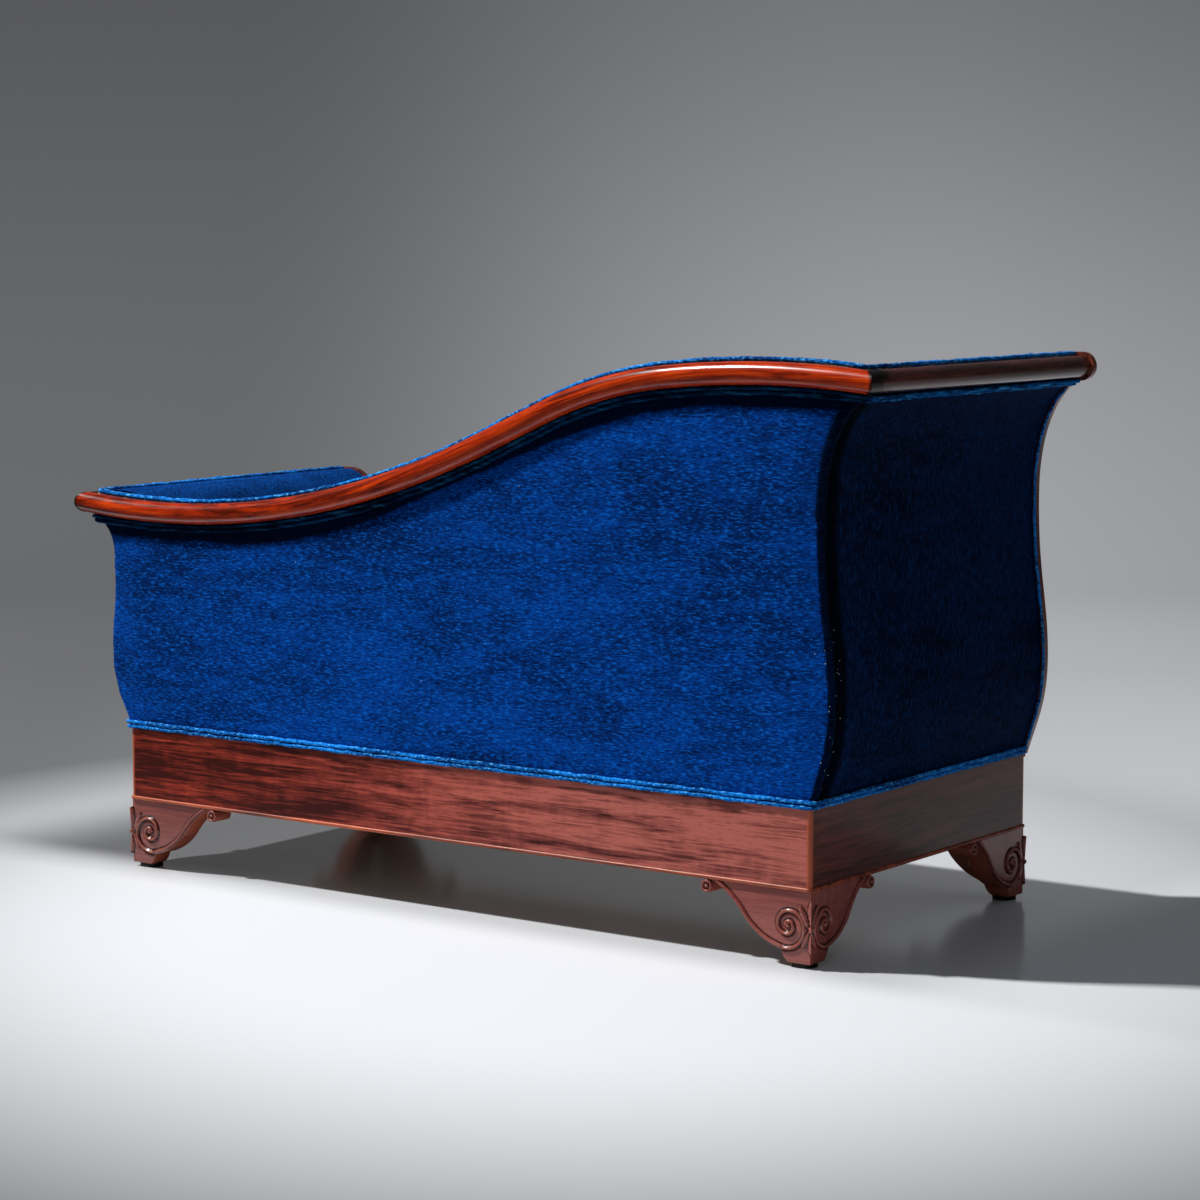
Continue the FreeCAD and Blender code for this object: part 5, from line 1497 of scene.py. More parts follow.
@dataclass
class SeatPlatform:
    """The webbing and hessian that the springs and stuffing stand on."""

    strap_thick: float = 1.5 * MM
    lift: float = 0.7 * MM

    def build(self) -> None:
        """Makes the woven straps and the hessian."""
        cross = self.straps("seat_webbing_cross")
        lengthwise = self.straps("seat_webbing_long")
        self.weave("webbing_lengthwise", lengthwise, cross, 0, "seat_webbing_long")
        self.weave("webbing_crosswise", cross, lengthwise, 1, "seat_webbing_cross")
        self.hessian()

    @staticmethod
    def straps(node: str) -> list[tuple[Vector, Vector]]:
        """The box of each strap of a CAD node, in order."""
        work = bmesh.new()
        work.from_mesh(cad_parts[node].data)
        left = set(work.verts)
        boxes = []
        while left:
            stack = [left.pop()]
            island = []
            while stack:
                vertex = stack.pop()
                island.append(vertex.co.copy())
                for edge in vertex.link_edges:
                    other = edge.other_vert(vertex)
                    if other in left:
                        left.remove(other)
                        stack.append(other)
            boxes.append(island)
        work.free()
        merged: dict[tuple[int, int], list[Vector]] = {}
        for island in boxes:
            xs, ys = [p.x for p in island], [p.y for p in island]
            key = (0, 0)
            if max(xs) - min(xs) > max(ys) - min(ys):
                key = (0, round((max(ys) + min(ys)) * 50))
            else:
                key = (round((max(xs) + min(xs)) * 50), 0)
            merged.setdefault(key, []).extend(island)
        rows = []
        for island in merged.values():
            rows.append((Vector([min(p[i] for p in island) for i in range(3)]),
                         Vector([max(p[i] for p in island) for i in range(3)])))
        return sorted(rows, key=lambda row: (row[0].x, row[0].y))

    def weave(self, name: str, straps: list[tuple[Vector, Vector]],
              crossed: list[tuple[Vector, Vector]], axis: int, node: str) -> None:
        """Makes straps that pass over and under the others in turn."""
        shape = Shape()
        other = 1 - axis
        middles = np.array([(a[axis] + b[axis]) / 2.0 for a, b in crossed])
        area = 0.0
        for i, (low, high) in enumerate(straps):
            along = np.linspace(low[axis], high[axis], 140 if axis == 0 else 70)
            way = np.where(np.arange(len(middles)) % 2 == i % 2, 1.0, -1.0)
            lift = np.interp(along, middles, way) * self.lift
            across = np.linspace(low[other], high[other], 5)
            top = (low.z + high.z) / 2.0 + self.strap_thick / 2.0 + lift
            grid = np.zeros((len(along), len(across), 3))
            grid[..., axis] = along[:, None]
            grid[..., other] = across[None, :]
            grid[..., 2] = top[:, None]
            shape.slab(grid, grid - np.array([0.0, 0.0, self.strap_thick]))
            area += (high[axis] - low[axis]) * (high[other] - low[other])
        piece = finished(shape.object(name), WEBBING, "frame", node)
        longest = max(high[axis] - low[axis] for low, high in straps)
        area / longest

    @staticmethod
    def hessian() -> None:
        """Makes the hessian under the stuffing."""
        low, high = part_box("seat_hessian")
        x = np.linspace(low.x, high.x, 90)
        y = np.linspace(low.y, high.y, 44)
        xx, yy = np.meshgrid(x, y, indexing="ij")
        lift = np.sin(xx * 23.0) * np.sin(yy * 29.0) * 0.12 * MM
        front = np.stack([xx, yy, np.full_like(xx, high.z) - 0.12 * MM + lift], axis=2)
        back = front - np.array([0.0, 0.0, high.z - low.z - 0.3 * MM])
        piece = finished(sheet_between(front, back, "seat_hessian_cloth"), HESSIAN, "frame",
                         "seat_hessian")


# Double welts

@dataclass
class Welts:
    """The velvet covered cords along the plinth, the rails and the facings."""

    ragged: float = 0.32 * MM
    puffy: float = 0.24 * MM
    drawn: float = 0.4 * MM
    step: float = 4 * MM
    over_in: float = 10.3 * MM
    over_up: float = 20.3 * MM
    under_down: float = RAIL_RADIUS + WELT_OFF
    facing_radius: float = 2.6 * MM
    corner_turn: float = 12 * MM
    corner_room: float = 6 * MM
    seam_inset: float = 1.6 * MM
    seam_radius: float = 1.7 * MM
    seam_y: float = BACK_Y - 8.6 * MM
    seam_span: tuple[float, float] = (PLINTH_TOP + 12 * MM, PLINTH_TOP + 250 * MM)

    def cord(self, shape: Shape, points: Points, seed: int,
             radius: float = WELT_RADIUS, rounds: int = 5) -> None:
        """Adds one slightly uneven cord along a path."""
        path = softened(evenly(points, self.step), rounds)
        for axis in range(3):
            path[:, axis] += wander(len(path), seed * 7 + axis, 4) * self.ragged
        puffs = wander(len(path), seed * 7 + 5, 2) * self.puffy
        shape.tube(path, radius - self.drawn + puffs, 12)

    def along_rails(self, end_spots: dict[str, tuple[float, float]], back: Points) -> Points:
        """A path down the high end, along the back and down the low end.

        Args:
            end_spots: each end's distance out and height.
            back: the stretch along the back, from low end to high end.

        Returns:
            The whole path, from the high end's front to the low end's front.
        """
        rows = []
        for end in ENDS:
            out, z = end_spots[end.name]
            x = end.x(out)
            rows.append([(x, FACING_BACK_Y, z), (x, BACK_Y - self.corner_turn, z)])
        x_high, x_low = rows[0][0][0], rows[1][0][0]
        middle = back[::-1]
        middle = middle[(middle[:, 0] > x_high + self.corner_room)
                        & (middle[:, 0] < x_low - self.corner_room)]
        corners = [np.array([[x_high, middle[0, 1], (middle[0, 2] + rows[0][1][2]) / 2.0]]),
                   np.array([[x_low, middle[-1, 1], (middle[-1, 2] + rows[1][1][2]) / 2.0]])]
        return np.concatenate([np.array(rows[0]), corners[0], middle, corners[1],
                               np.array(rows[1][::-1])])

    def over_rails(self) -> None:
        """The double welt between the inner covers and the rails."""
        shape = Shape()
        for i in range(2):
            inward = self.over_in + WELT_STEP * i
            spots = {end.name: (end.overhang - inward, end.rail_height + self.over_up)
                     for end in ENDS}
            back = SWEEP.line(self.over_up, BACK_Y + RAIL_OVERHANG - inward)
            self.cord(shape, self.along_rails(spots, back), 11 + i)
        finished(shape.object("welts_over_rails"), VELVET_WELT_HIGHLIT, "frame", "welt_over_rails")

    def lip_spot(self, end: EndShape, i: int) -> tuple[float, float]:
        """Distance out and height of a cord that rests on an end's flared cover."""
        run = np.array(end.flare) / np.linalg.norm(end.flare)
        off = np.array([run[1], -run[0]])
        spot = np.array(end.lip) + off * (WELT_OFF + 0.6 * MM * i) - run * WELT_STEP * i
        return float(spot[0]), float(spot[1])

    def under_rails(self) -> None:
        """The double welt between the outer covers and the rails."""
        shape = Shape()
        for i in range(2):
            spots = {end.name: self.lip_spot(end, i) for end in ENDS}
            back = SWEEP.line(-self.under_down - WELT_STEP * i, BACK_Y + WELT_OFF)
            self.cord(shape, self.along_rails(spots, back), 21 + i)
        # The lower welts use the darker velvet with painted shade.
        finished(shape.object("welts_under_rails"), VELVET_LOWER_WELT_SHADED, "frame",
                 "welt_under_rails")

    def on_plinth(self) -> None:
        """The double welt at the foot of the covers, and along the seat's front."""
        shape = Shape()
        for i in range(2):
            spots = {}
            for end in ENDS:
                slope = end.belly[0] * end.start[0] / (end.belly[1] * end.start[1])
                lean = math.hypot(1.0, slope)
                out = slope * WELT_OFF + WELT_OFF * lean + slope * WELT_STEP * i / lean
                spots[end.name] = (out, PLINTH_TOP + WELT_OFF + WELT_STEP * i / lean)
            z = PLINTH_TOP + WELT_OFF + WELT_STEP * i
            back = np.array([[LOW_END.x(0.0), BACK_Y + WELT_OFF, z],
                             [0.0, BACK_Y + WELT_OFF, z],
                             [HIGH_END.x(0.0), BACK_Y + WELT_OFF, z]])
            back = evenly(back, 20 * MM)
            self.cord(shape, self.along_rails(spots, back), 31 + i, rounds=3)
            y = SEAT_LOW.y - WELT_OFF
            self.cord(shape, np.array([[SEAT_LOW.x, y, z], [SEAT_HIGH.x, y, z]]), 35 + i)
        finished(shape.object("welts_on_plinth"), VELVET_WELT_HIGHLIT, "frame", "welt_plinth")

    def beside_facings(self) -> None:
        """One thin cord beside each facing, up the whole side curve."""
        shape = Shape()
        for i, end in enumerate(ENDS):
            path = end.curve()
            off = self.facing_radius + WELT_GAP
            out, z = (path + square_to(path) * off).T
            z_top = self.lip_spot(end, 1)[1] - 5 * MM
            keep = (z > PLINTH_TOP + 14 * MM) & (z < z_top)
            y = np.full(len(out), FACING_BACK_Y + off)
            points = np.stack([end.x(out), y, z], axis=1)[keep]
            self.cord(shape, points, 61 + i, self.facing_radius)
        finished(shape.object("welts_beside_facings"), VELVET_WELT_HIGHLIT, "frame", "welt_facings")

    def corner_seams(self) -> None:
        """The rolled edge of the back's velvet, sewn down at the back corners."""
        for i, end in enumerate(ENDS):
            shape = Shape()
            path = end.curve(self.seam_inset)
            low, high = self.seam_span
            path = path[(path[:, 1] > low) & (path[:, 1] < high)]
            y = np.full(len(path), self.seam_y)
            points = np.stack([end.x(path[:, 0]), y, path[:, 1]], axis=1)
            self.cord(shape, points, 71 + i, self.seam_radius)
            finished(shape.object(end.name + "_corner_seam"), VELVET_WELT_HIGHLIT, "frame")

    def build(self) -> None:
        """Makes every cord."""
        self.over_rails()
        self.under_rails()
        self.on_plinth()
        self.beside_facings()
        self.corner_seams()


# Carved bracket feet

@dataclass
class CarvedFoot:
    """A bracket foot of two mitred boards, with scrolls and a palmette in relief."""

    end: EndShape
    way: int
    board: float = 34 * MM
    long_reach: float = 190 * MM
    short_reach: float = 174 * MM
    volute: float = 10.5 * MM
    sink: float = 17 * MM
    knee_share: float = 0.45
    knee_z: float = 62 * MM
    ankle: tuple[float, float] = (50 * MM, 24.5 * MM)
    toe: tuple[float, float] = (41 * MM, 9 * MM)
    heel: tuple[float, float] = (39 * MM, 7 * MM)
    levels: int = 84
    spacing: float = 1.25 * MM
    centre: tuple[float, float] = (38 * MM, 62 * MM)
    radii: tuple[float, ...] = (35.0, 28.5, 22.5, 18.0, 13.5, 9.6, 6.8, 5.0)
    leaves: tuple[tuple[Any, Any, float, float], ...] = (
        ((3.0, 58.0), (17.5, 93.0), 4.8, 3.8), ((0.0, 58.0), (0.0, 101.0), 5.4, 3.9),
        ((3.0, 58.0), (13.0, 31.0), 3.8, 3.0), ((0.0, 58.0), (0.0, 22.0), 4.6, 3.3))

    def lower_edge(self, reach: float) -> Points:
        """The foot's lower edge from its toe to its tip, as rows of (t, z)."""
        tip = (reach - self.sink, PLINTH_BOTTOM)
        knee = (self.ankle[0] + (reach - self.ankle[0]) * self.knee_share, self.knee_z)
        rows = [np.array([(0.0, self.heel[1]), self.heel, self.toe])]
        rows.append(self.bowed(self.toe, self.ankle, -1.5 * MM))
        rows.append(self.bowed(self.ankle, knee, -6 * MM))
        rows.append(self.bowed(knee, tip, 5 * MM))
        return np.concatenate(rows)

    @staticmethod
    def bowed(start: Sequence[float], end: Sequence[float], sag: float) -> Points:
        """An arc that stands a sag off its chord, up and to the left of its run."""
        a, b = np.array(start), np.array(end)
        chord = b - a
        left = np.array([-chord[1], chord[0]]) / np.linalg.norm(chord)
        t = np.linspace(0.0, 1.0, 24)[1:, None]
        return a + chord * t + left * (4.0 * sag * t * (1.0 - t))

    def span(self, t: Points, reach: float) -> tuple[Points, Points]:
        """The lowest and highest point of the face at each distance from the corner."""
        edge = self.lower_edge(reach)
        order = np.maximum.accumulate(edge[:, 0])
        low = np.interp(t, order, edge[:, 1])
        top = np.full_like(t, PLINTH_BOTTOM)
        middle_t, middle_z = reach - self.volute, PLINTH_BOTTOM - self.volute
        half = np.sqrt(np.maximum(self.volute ** 2 - (t - middle_t) ** 2, 0.0))
        inside = t > middle_t - self.volute
        low = np.where(inside, np.minimum(low, middle_z - half), low)
        top = np.where(t > middle_t, middle_z + half, top)
        return low, top

    def scroll(self, reach: float) -> Points:
        """The ribbon's path: down beside the lower edge, then in round the scroll."""
        edge = self.lower_edge(reach)
        edge = edge[(edge[:, 0] > 66 * MM) & (edge[:, 0] < reach - 24 * MM)][::-1]
        edge = edge + square_to(edge) * 4.6 * MM
        turns = np.arange(len(self.radii)) * 90.0
        angle = np.arange(0.0, turns[-1] + 1.0, 4.0)
        radius = np.interp(angle, turns, self.radii) * MM
        a = np.radians(-78.0 - angle)
        spiral = np.stack([self.centre[0] + radius * np.cos(a),
                           self.centre[1] + radius * np.sin(a)], axis=1)
        path = np.concatenate([edge, spiral])
        flat = np.concatenate([path, np.zeros((len(path), 1))], axis=1)
        return softened(evenly(flat, 1.2 * MM), 8)[:, :2]

    @staticmethod
    def distance(points: Points, path: Points) -> Points:
        """Distance from each point to the nearest point of a path."""
        gap = points[..., None, :] - path
        return np.sqrt((gap ** 2).sum(axis=-1).min(axis=-1))

    @staticmethod
    def ridge(distance: Points, width: float, height: float) -> Points:
        """A rounded ridge over a path, with a shallow channel cut beside it."""
        share = np.clip(distance / width, 0.0, 1.0)
        channel = np.exp(-((distance - width * 1.25) / (width * 0.35)) ** 2)
        return height * np.sqrt(1.0 - share ** 2) * (1.0 - share ** 6) - channel * 1.2 * MM

    def leaf(self, points: Points, root: Sequence[float], tip: Sequence[float],
             width: float, height: float) -> Points:
        """One leaf of the palmette: widest near its tip, with a channel cut round it."""
        a, b = np.array(root), np.array(tip)
        chord = b - a
        length = np.linalg.norm(chord)
        chord = chord / length
        gap = points - a
        along = gap @ chord
        across = np.abs(gap @ np.array([-chord[1], chord[0]]))
        share = np.clip(along / length, 0.0, 1.0)
        half = width * np.sqrt(np.sin(math.pi * share ** 1.7) + 1e-6)
        inside = (along > 0.0) & (along < length)
        body = np.sqrt(np.clip(1.0 - (across / half) ** 2, 0.0, 1.0))
        rise = height * (0.55 + 0.45 * share) * body
        cut = np.exp(-((across - half) / (1.0 * MM)) ** 2) * 0.9 * MM
        return np.where(inside, np.where(across < half, rise, -cut), 0.0)

    def relief(self, t: Points, z: Points, reach: float) -> Points:
        """How far the carving stands off the face."""
        points = np.stack([t, z], axis=-1)
        height = self.ridge(self.distance(points, self.scroll(reach)), 3.0 * MM, 3.6 * MM)
        boss = np.hypot(t - self.centre[0], z - self.centre[1])
        height = self.over(height, self.ridge(boss, 4.6 * MM, 4.4 * MM))
        middle = np.hypot(t - (reach - self.volute), z - (PLINTH_BOTTOM - self.volute))
        disc = 1.2 * MM * np.clip((self.volute - middle) / (1.2 * MM), 0.0, 1.0)
        ring = self.ridge(np.abs(middle - 7.8 * MM), 2.3 * MM, 2.8 * MM)
        eye = self.ridge(middle, 3.4 * MM, 3.8 * MM)
        height = np.where(middle < self.volute + 1.0 * MM, disc + self.over(ring, eye), height)
        for root, tip, width, stand in self.leaves:
            leaf = self.leaf(points, np.array(root) * MM, np.array(tip) * MM,
                             width * MM, stand * MM)
            height = self.over(height, leaf)
        node = np.hypot(t, z - 58.5 * MM)
        return self.over(height, self.ridge(node, 5.4 * MM, 4.4 * MM))

    @staticmethod
    def over(first: Points, second: Points) -> Points:
        """One carved form over another: the higher where either stands, else the deeper."""
        raised = np.maximum(first, second)
        return np.where(raised > 1e-6, raised, np.minimum(first, second))

    def wing(self, reach: float) -> tuple[Points, Points]:
        """One board's face from corner to tip: (t, stand-off, z), and the inner edge's t."""
        count = int(reach / self.spacing)
        t = np.linspace(0.0, reach - 0.12 * MM, count)
        low, top = self.span(t, reach)
        share = np.linspace(0.0, 1.0, self.levels)[None, :]
        z = low[:, None] + (top - low)[:, None] * share
        tt = np.broadcast_to(t[:, None], z.shape)
        height = self.relief(tt, z, reach)
        edge = np.minimum(z - low[:, None], 1.6 * MM) / (1.6 * MM)
        height = height * edge - 1.0 * MM * (1.0 - edge) ** 2
        mitre = height[0][None, :] * np.clip(1.0 - t / (9 * MM), 0.0, 1.0)[:, None]
        face = np.stack([tt - mitre, height, z], axis=2)
        near, far = self.board, self.board + 2 * MM
        inner = np.where(t < near, near + (far - near) * t / near,
                         far + (t - near) * (reach - far) / (reach - near))
        return face, inner

    def build(self) -> bpy.types.Object:
        """Makes the foot as one closed, carved mesh."""
        corner = np.array([self.end.x(0.0), BACK_Y if self.way > 0 else FRONT_Y, 0.0])
        along = np.array([-self.end.side, 0.0, 0.0])
        inward = np.array([0.0, -self.way, 0.0])
        columns = []
        for reach, run, depth in ((self.long_reach, along, inward),
                                  (self.short_reach, inward, along)):
            face, inner = self.wing(reach)
            shown = (corner + face[..., 0:1] * run - face[..., 1:2] * depth
                     + face[..., 2:3] * np.array([0.0, 0.0, 1.0]))
            low, top = face[:, 0, 2], face[:, -1, 2]
            hidden = corner + inner[:, None] * run + self.board * depth
            hidden = np.stack([hidden + low[:, None] * (0, 0, 1),
                               hidden + top[:, None] * (0, 0, 1)], axis=1)
            columns.append(np.concatenate([shown, hidden], axis=1))
        rows = np.concatenate([columns[0][::-1], columns[1][1:]])
        n, m = rows.shape[:2]
        last = m - 3
        faces = []
        for i in range(n - 1):
            a, b = i * m, (i + 1) * m
            faces += [(a + j, a + j + 1, b + j + 1, b + j) for j in range(last)]
            faces.append((a + last, a + m - 1, b + m - 1, b + last))
            faces.append((a + m - 1, a + m - 2, b + m - 2, b + m - 1))
            faces.append((a + m - 2, a, b, b + m - 2))
        cap = list(range(last + 1)) + [m - 1, m - 2]
        faces += [tuple(cap), tuple(i + (n - 1) * m for i in cap[::-1])]
        shape = Shape()
        shape.add(rows, faces)
        place = "back" if self.way > 0 else "front"
        name = "carved_foot_%s_%s" % (self.end.name, place)
        return finished(shape.object(name, 55.0), WOOD_FOOT, "frame",
                        "bracket_foot_%s_%s" % (self.end.name, place))


# Turned roundels

@dataclass
class Roundels:
    """The turned buttons on the front ends of the end rails."""

    profile: tuple[tuple[float, float], ...] = (
        (18.5, 0.0), (18.5, 1.2), (17.9, 2.4), (16.8, 3.2), (15.6, 3.5), (14.6, 3.1),
        (13.8, 2.3), (12.8, 2.0), (11.8, 2.2), (10.6, 3.1), (9.4, 3.4), (8.6, 3.1),
        (8.0, 2.9), (7.6, 3.6), (6.6, 4.8), (5.0, 5.6), (3.0, 5.95), (1.2, 6.0))

    def build(self) -> None:
        """Makes both roundels."""
        for end in ENDS:
            node = end.name + "_roundel"
            low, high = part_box(node)
            centre = np.array([(low.x + high.x) / 2.0, high.y, (low.z + high.z) / 2.0])
            shape = Shape()
            shape.turned(centre, np.array([0.0, -1.0, 0.0]), np.array(self.profile) * MM, 64)
            finished(shape.object(end.name + "_turned_roundel", 60.0), WOOD_FACING,
                     "frame", node)


# What keeps its CAD form

def dress_frame() -> None:
    """Gives every CAD node that stays its finish."""
    refinish(WOOD_BACK_BOARD, "plinth_back_board")
    refinish(WOOD_LONG_BOARD, "plinth_front_board")
    refinish(WOOD_END_BOARD_SHADED, "plinth_high_board", "plinth_low_board")
    refinish(WOOD_BEAD, "plinth_beads")
    refinish(WOOD_BACK_RAIL, "back_rail")
    refinish(WOOD_END_RAIL_SHADED, "high_rail", "low_rail")
    refinish(WOOD_FACING, "high_facing", "low_facing")
    refinish(BEECH_UPRIGHT, "high_back_upright", "high_front_upright", "low_back_upright",
             "low_front_upright", "back_posts", "corner_blocks", "foot_glue_blocks")
    refinish(BEECH_DEPTH, "high_crest_board", "low_crest_board", "high_stuffing_rail",
             "low_stuffing_rail")
    refinish(BEECH_LENGTH, "back_crest_board", "back_stuffing_rails", "seat_ledgers")
    refinish(STEEL, "seat_springs", "rail_screws")
    refinish(IRON, "glides")


def pad_everything() -> None:
    """Makes the padded inner sides of both ends and the back, and the seat's deck."""
    for end in ENDS:
        name = end.name
        EndPad(name + "_padding", (name + "_stuffing", name + "_inner_cover"), end=end).build()
    BackPad("back_padding", ("back_stuffing", "back_inner_cover")).build()
    RemeshedPad("seat_deck", "seat_stuffing", ("seat_stuffing", "seat_cover"),
                swelling=Swelling(cap=3.5 * MM), fill=1.0).build()


# Studio

@dataclass(frozen=True)
class Patch:
    """A soft edged patch of the studio: the steps over x and over y that bound it."""

    x: tuple[tuple[float, float], ...]
    y: tuple[tuple[float, float], ...] = ()

    def share(self, graph: Surface) -> Sock:
        """One on the patch, zero off it."""
        across, along, _ = graph.axes()
        steps = [across.step(*ends) for ends in self.x]
        steps += [along.step(*ends) for ends in self.y]
        shown = steps[0]
        for step in steps[1:]:
            shown = shown * step
        return shown


@dataclass(frozen=True)
class StudioSurface(Finish):
    """The floor and backdrop: paper with a painted pool and spill of light, a darker wall
    behind, a painted shadow under the day bed, and patches painted for gloss to reflect.
    """

    paper: Colour = (0.70, 0.722, 0.762)
    gloom: Colour = (0.012, 0.012, 0.013)
    ahead: tuple[float, float] = (0.0, 1.0)
    pool: tuple[float, float] = (2.40, 0.82)
    spill: tuple[float, float] = (0.168, 0.57)
    middle: tuple[float, float] = (-0.22, 0.14)
    narrow: float = 1.20
    wall_top: float = 2.2
    mirrored: float = 0.62
    gleam: float = 0.055
    bounced: float = 0.85
    shadow_painted_under_bed: float = 0.82
    beside: Patch = Patch(((-0.79, -0.88),))
    behind: Patch = Patch(((-1.0, -0.8),), ((0.28, 0.34), (0.80, 0.46)))
    beyond: Patch = Patch(((-0.95, -0.65),), ((-0.35, -0.60),))
    # Painted shadow: where the floor that the camera sees under the day bed is darkened.
    hollow: Patch = Patch(((1.20, 0.80), (0.20, 0.55)), ((0.34, 0.22), (-1.1, -0.7)))
    polish: Patch = Patch(((-1.6, -1.3), (1.15, 0.85)), ((0.42, 0.30), (-1.6, -0.9)))

    def paint(self, graph: Surface) -> None:
        """Builds the studio's nodes."""
        x, y, z = graph.axes()
        depth = x * self.ahead[0] + y * self.ahead[1]
        side = x * self.ahead[1] - y * self.ahead[0]
        near, off = depth - self.middle[0], (side - self.middle[1]) * self.narrow
        # Painted light: a pool of light round the day bed and a spill towards the right, fading
        # up the wall and away, mixed between the gloom and the paper colour.
        radial = (near * near + off * off).maths("SQRT")
        pool = radial.step(*self.pool)
        low, gain = self.spill
        up = z.step(0.0, self.wall_top)
        fade = (1.0 - depth.step(0.4, 6.5) * 0.45) * (1.0 - up * 0.60)
        spill = side.step(-1.25, 1.45) * gain * fade
        spill = spill + (1.0 - up * 0.33) * low
        spill = spill * (depth.step(-0.7, 0.5) * 0.4 + 0.6)
        tone = pool.maths("MAXIMUM", spill) * (side.step(-1.2, 0.2) * 0.14 + 0.86)
        seen = graph.node("ShaderNodeLightPath", {}, {}, "Is Camera Ray")
        gloss = graph.node("ShaderNodeLightPath", {}, {}, "Is Glossy Ray")
        # Painted reflections: patches of floor, lighter or darker, that only gloss rays see,
        # set for the wood to reflect.
        beside = self.beside.share(graph) * (1.0 - x.step(-1.0, -1.7) * 0.5)
        behind = self.behind.share(graph) * 1.5
        beyond = self.beyond.share(graph) * tone
        mirrored = beside.maths("MAXIMUM", behind) * self.mirrored + beyond + self.gleam
        # Painted shadow under the day bed, for camera rays only.
        hollow = self.hollow.share(graph) * self.shadow_painted_under_bed
        polish = self.polish.share(graph) * (x.step(-0.95, -0.75) * 0.65 + 0.35)
        bounced = (1.0 - seen - gloss).maths("MAXIMUM", 0.0) * tone * self.bounced
        tone = seen * tone * (1.0 - hollow) + gloss * mirrored + bounced
        tint = graph.noise((0.4, 0.4, 0.4), 2.0)
        graph.set(Base_Color=graph.mix(tone, self.gloom, self.paper),
                  Roughness=tint * 0.1 + 0.70, Specular_IOR_Level=0.10,
                  Coat_Weight=polish, Coat_Roughness=0.16)


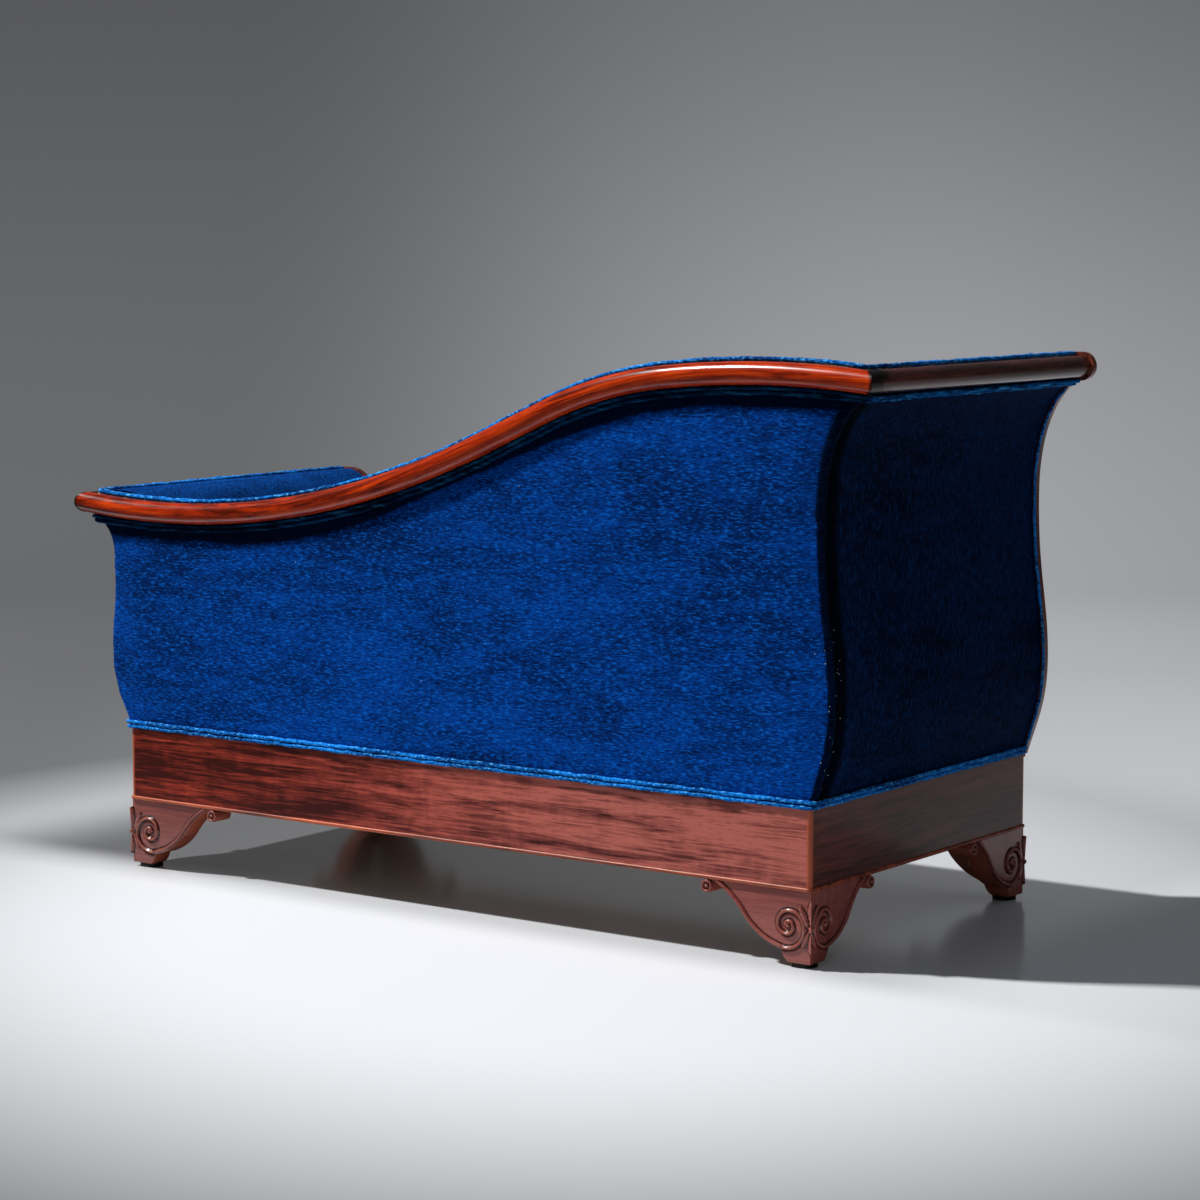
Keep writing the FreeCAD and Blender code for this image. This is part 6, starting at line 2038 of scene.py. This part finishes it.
@dataclass
class Studio:
    """The floor, the backdrop, the lights and the camera."""

    turn: float = 35.78
    tip: float = 6.54
    lens: float = 99.15
    eye: Triple = (-3.159, 4.292, 1.076)
    key_turn: float = 31.7
    key_rise: float = 52.8
    key_away: float = 8.0
    key_size: float = 0.42
    key_power: float = 1020.0
    key_target: Triple = (0.0, 0.0, 0.45)
    key_colour: Colour = (1.0, 0.985, 0.96)
    wall_size: float = 2.4
    wall_depth: float = 2.6
    wall_height: float = 3.2
    wall_power: float = 44.0
    world: float = 0.18
    world_colour: Colour = (0.92, 0.96, 1.0)
    world_in_gloss: float = 0.03
    bend: float = 2.2
    far: float = 4.2
    behind: float = 9.0
    wall_top: float = 9.0
    half_width: float = 12.0

    def build(self) -> None:
        """Makes everything in the studio."""
        self.backdrop()
        self.lights()
        self.camera()
        bpy.context.scene.view_settings.view_transform = "Standard"

    def forward(self) -> Points:
        """The camera's direction."""
        turn, tip = math.radians(self.turn), math.radians(self.tip)
        return np.array([math.sin(turn) * math.cos(tip), -math.cos(turn) * math.cos(tip),
                         -math.sin(tip)])

    def backdrop(self) -> None:
        """A floor that turns up into a wall behind the day bed, and runs past the camera."""
        level = np.array([*self.forward()[:2], 0.0])
        level /= np.linalg.norm(level)
        across = np.array([level[1], -level[0], 0.0])
        bend, far = self.bend, self.far
        profile = [(-self.behind, 0.0), (-3.0, 0.0), (0.0, 0.0), (far * 0.5, 0.0)]
        profile += [(far + bend * math.sin(a), bend * (1.0 - math.cos(a)))
                    for a in np.linspace(0.0, math.pi / 2.0, 24)]
        profile.append((far + bend, self.wall_top))
        wide = np.linspace(-self.half_width, self.half_width, 5)
        grid = np.array([[level * d + across * w + np.array([0.0, 0.0, h])
                          for d, h in profile] for w in wide])
        piece = sheet_between(grid, grid - np.array([0.0, 0.0, 0.05]), "studio_backdrop", 30.0)
        paper = StudioSurface("studio_paper", "", ahead=(float(level[0]), float(level[1])))
        piece.data.materials.append(paper.material())

    @staticmethod
    def lamp(name: str, place: Vector, back: Vector, size: float, power: float,
             colour: Colour = (1.0, 1.0, 1.0)) -> None:
        """Adds a square soft light at a place, with its back in a direction."""
        lamp = bpy.data.lights.new(name, "AREA")
        lamp.size = size
        lamp.energy = power
        lamp.color = colour
        piece = in_scene(bpy.data.objects.new(name, lamp))
        piece.location = place
        piece.rotation_mode = "QUATERNION"
        piece.rotation_quaternion = back.to_track_quat("Z", "Y")

    def lights(self) -> None:
        """The key light, a light on the backdrop alone, and a world that gloss hardly shows."""
        a, e = math.radians(self.key_turn), math.radians(self.key_rise)
        way = Vector((math.cos(a) * math.cos(e), math.sin(a) * math.cos(e), math.sin(e)))
        self.lamp("key", Vector(self.key_target) + way * self.key_away, way, self.key_size,
                  self.key_power, self.key_colour)
        ahead = Vector((*self.forward()[:2], 0.0)).normalized()
        place = ahead * self.wall_depth + Vector((0.0, 0.0, self.wall_height))
        self.lamp("wall_light", place, -ahead, self.wall_size, self.wall_power)
        world = bpy.data.worlds.new("studio_world")
        world.use_nodes = True
        graph = Graph(world.node_tree)
        gloss = graph.node("ShaderNodeLightPath", {}, {}, "Is Glossy Ray")
        shade = graph.node("ShaderNodeBackground", {}, {
            "Color": self.world_colour,
            "Strength": self.world - gloss * (self.world - self.world_in_gloss)})
        graph.node("ShaderNodeOutputWorld", {}, {"Surface": shade})
        bpy.context.scene.world = world

    def camera(self) -> None:
        """The camera at the photograph's angle."""
        data = bpy.data.cameras.new("camera")
        data.sensor_width = 36.0
        data.lens = self.lens
        data.clip_end = 60.0
        piece = in_scene(bpy.data.objects.new("camera", data))
        piece.location = self.eye
        piece.rotation_mode = "QUATERNION"
        piece.rotation_quaternion = Vector(self.forward()).to_track_quat("-Z", "Y")
        bpy.context.scene.camera = piece


def main() -> None:
    """Builds the day bed's pieces round the frame, and the studio."""
    logging.basicConfig(level=logging.INFO, format="%(name)s: %(message)s")
    Studio().build()
    dress_frame()
    for end in ENDS:
        for way in (1, -1):
            CarvedFoot(end, way).build()
        panel = EndPanel(end)
        panel.cover()
        panel.lining()
    back = BackPanel()
    back.cover()
    back.lining()
    Roundels().build()
    Welts().build()
    SeatPlatform().build()
    pad_everything()
    Squab().build()


if __name__ == "__main__":
    main()
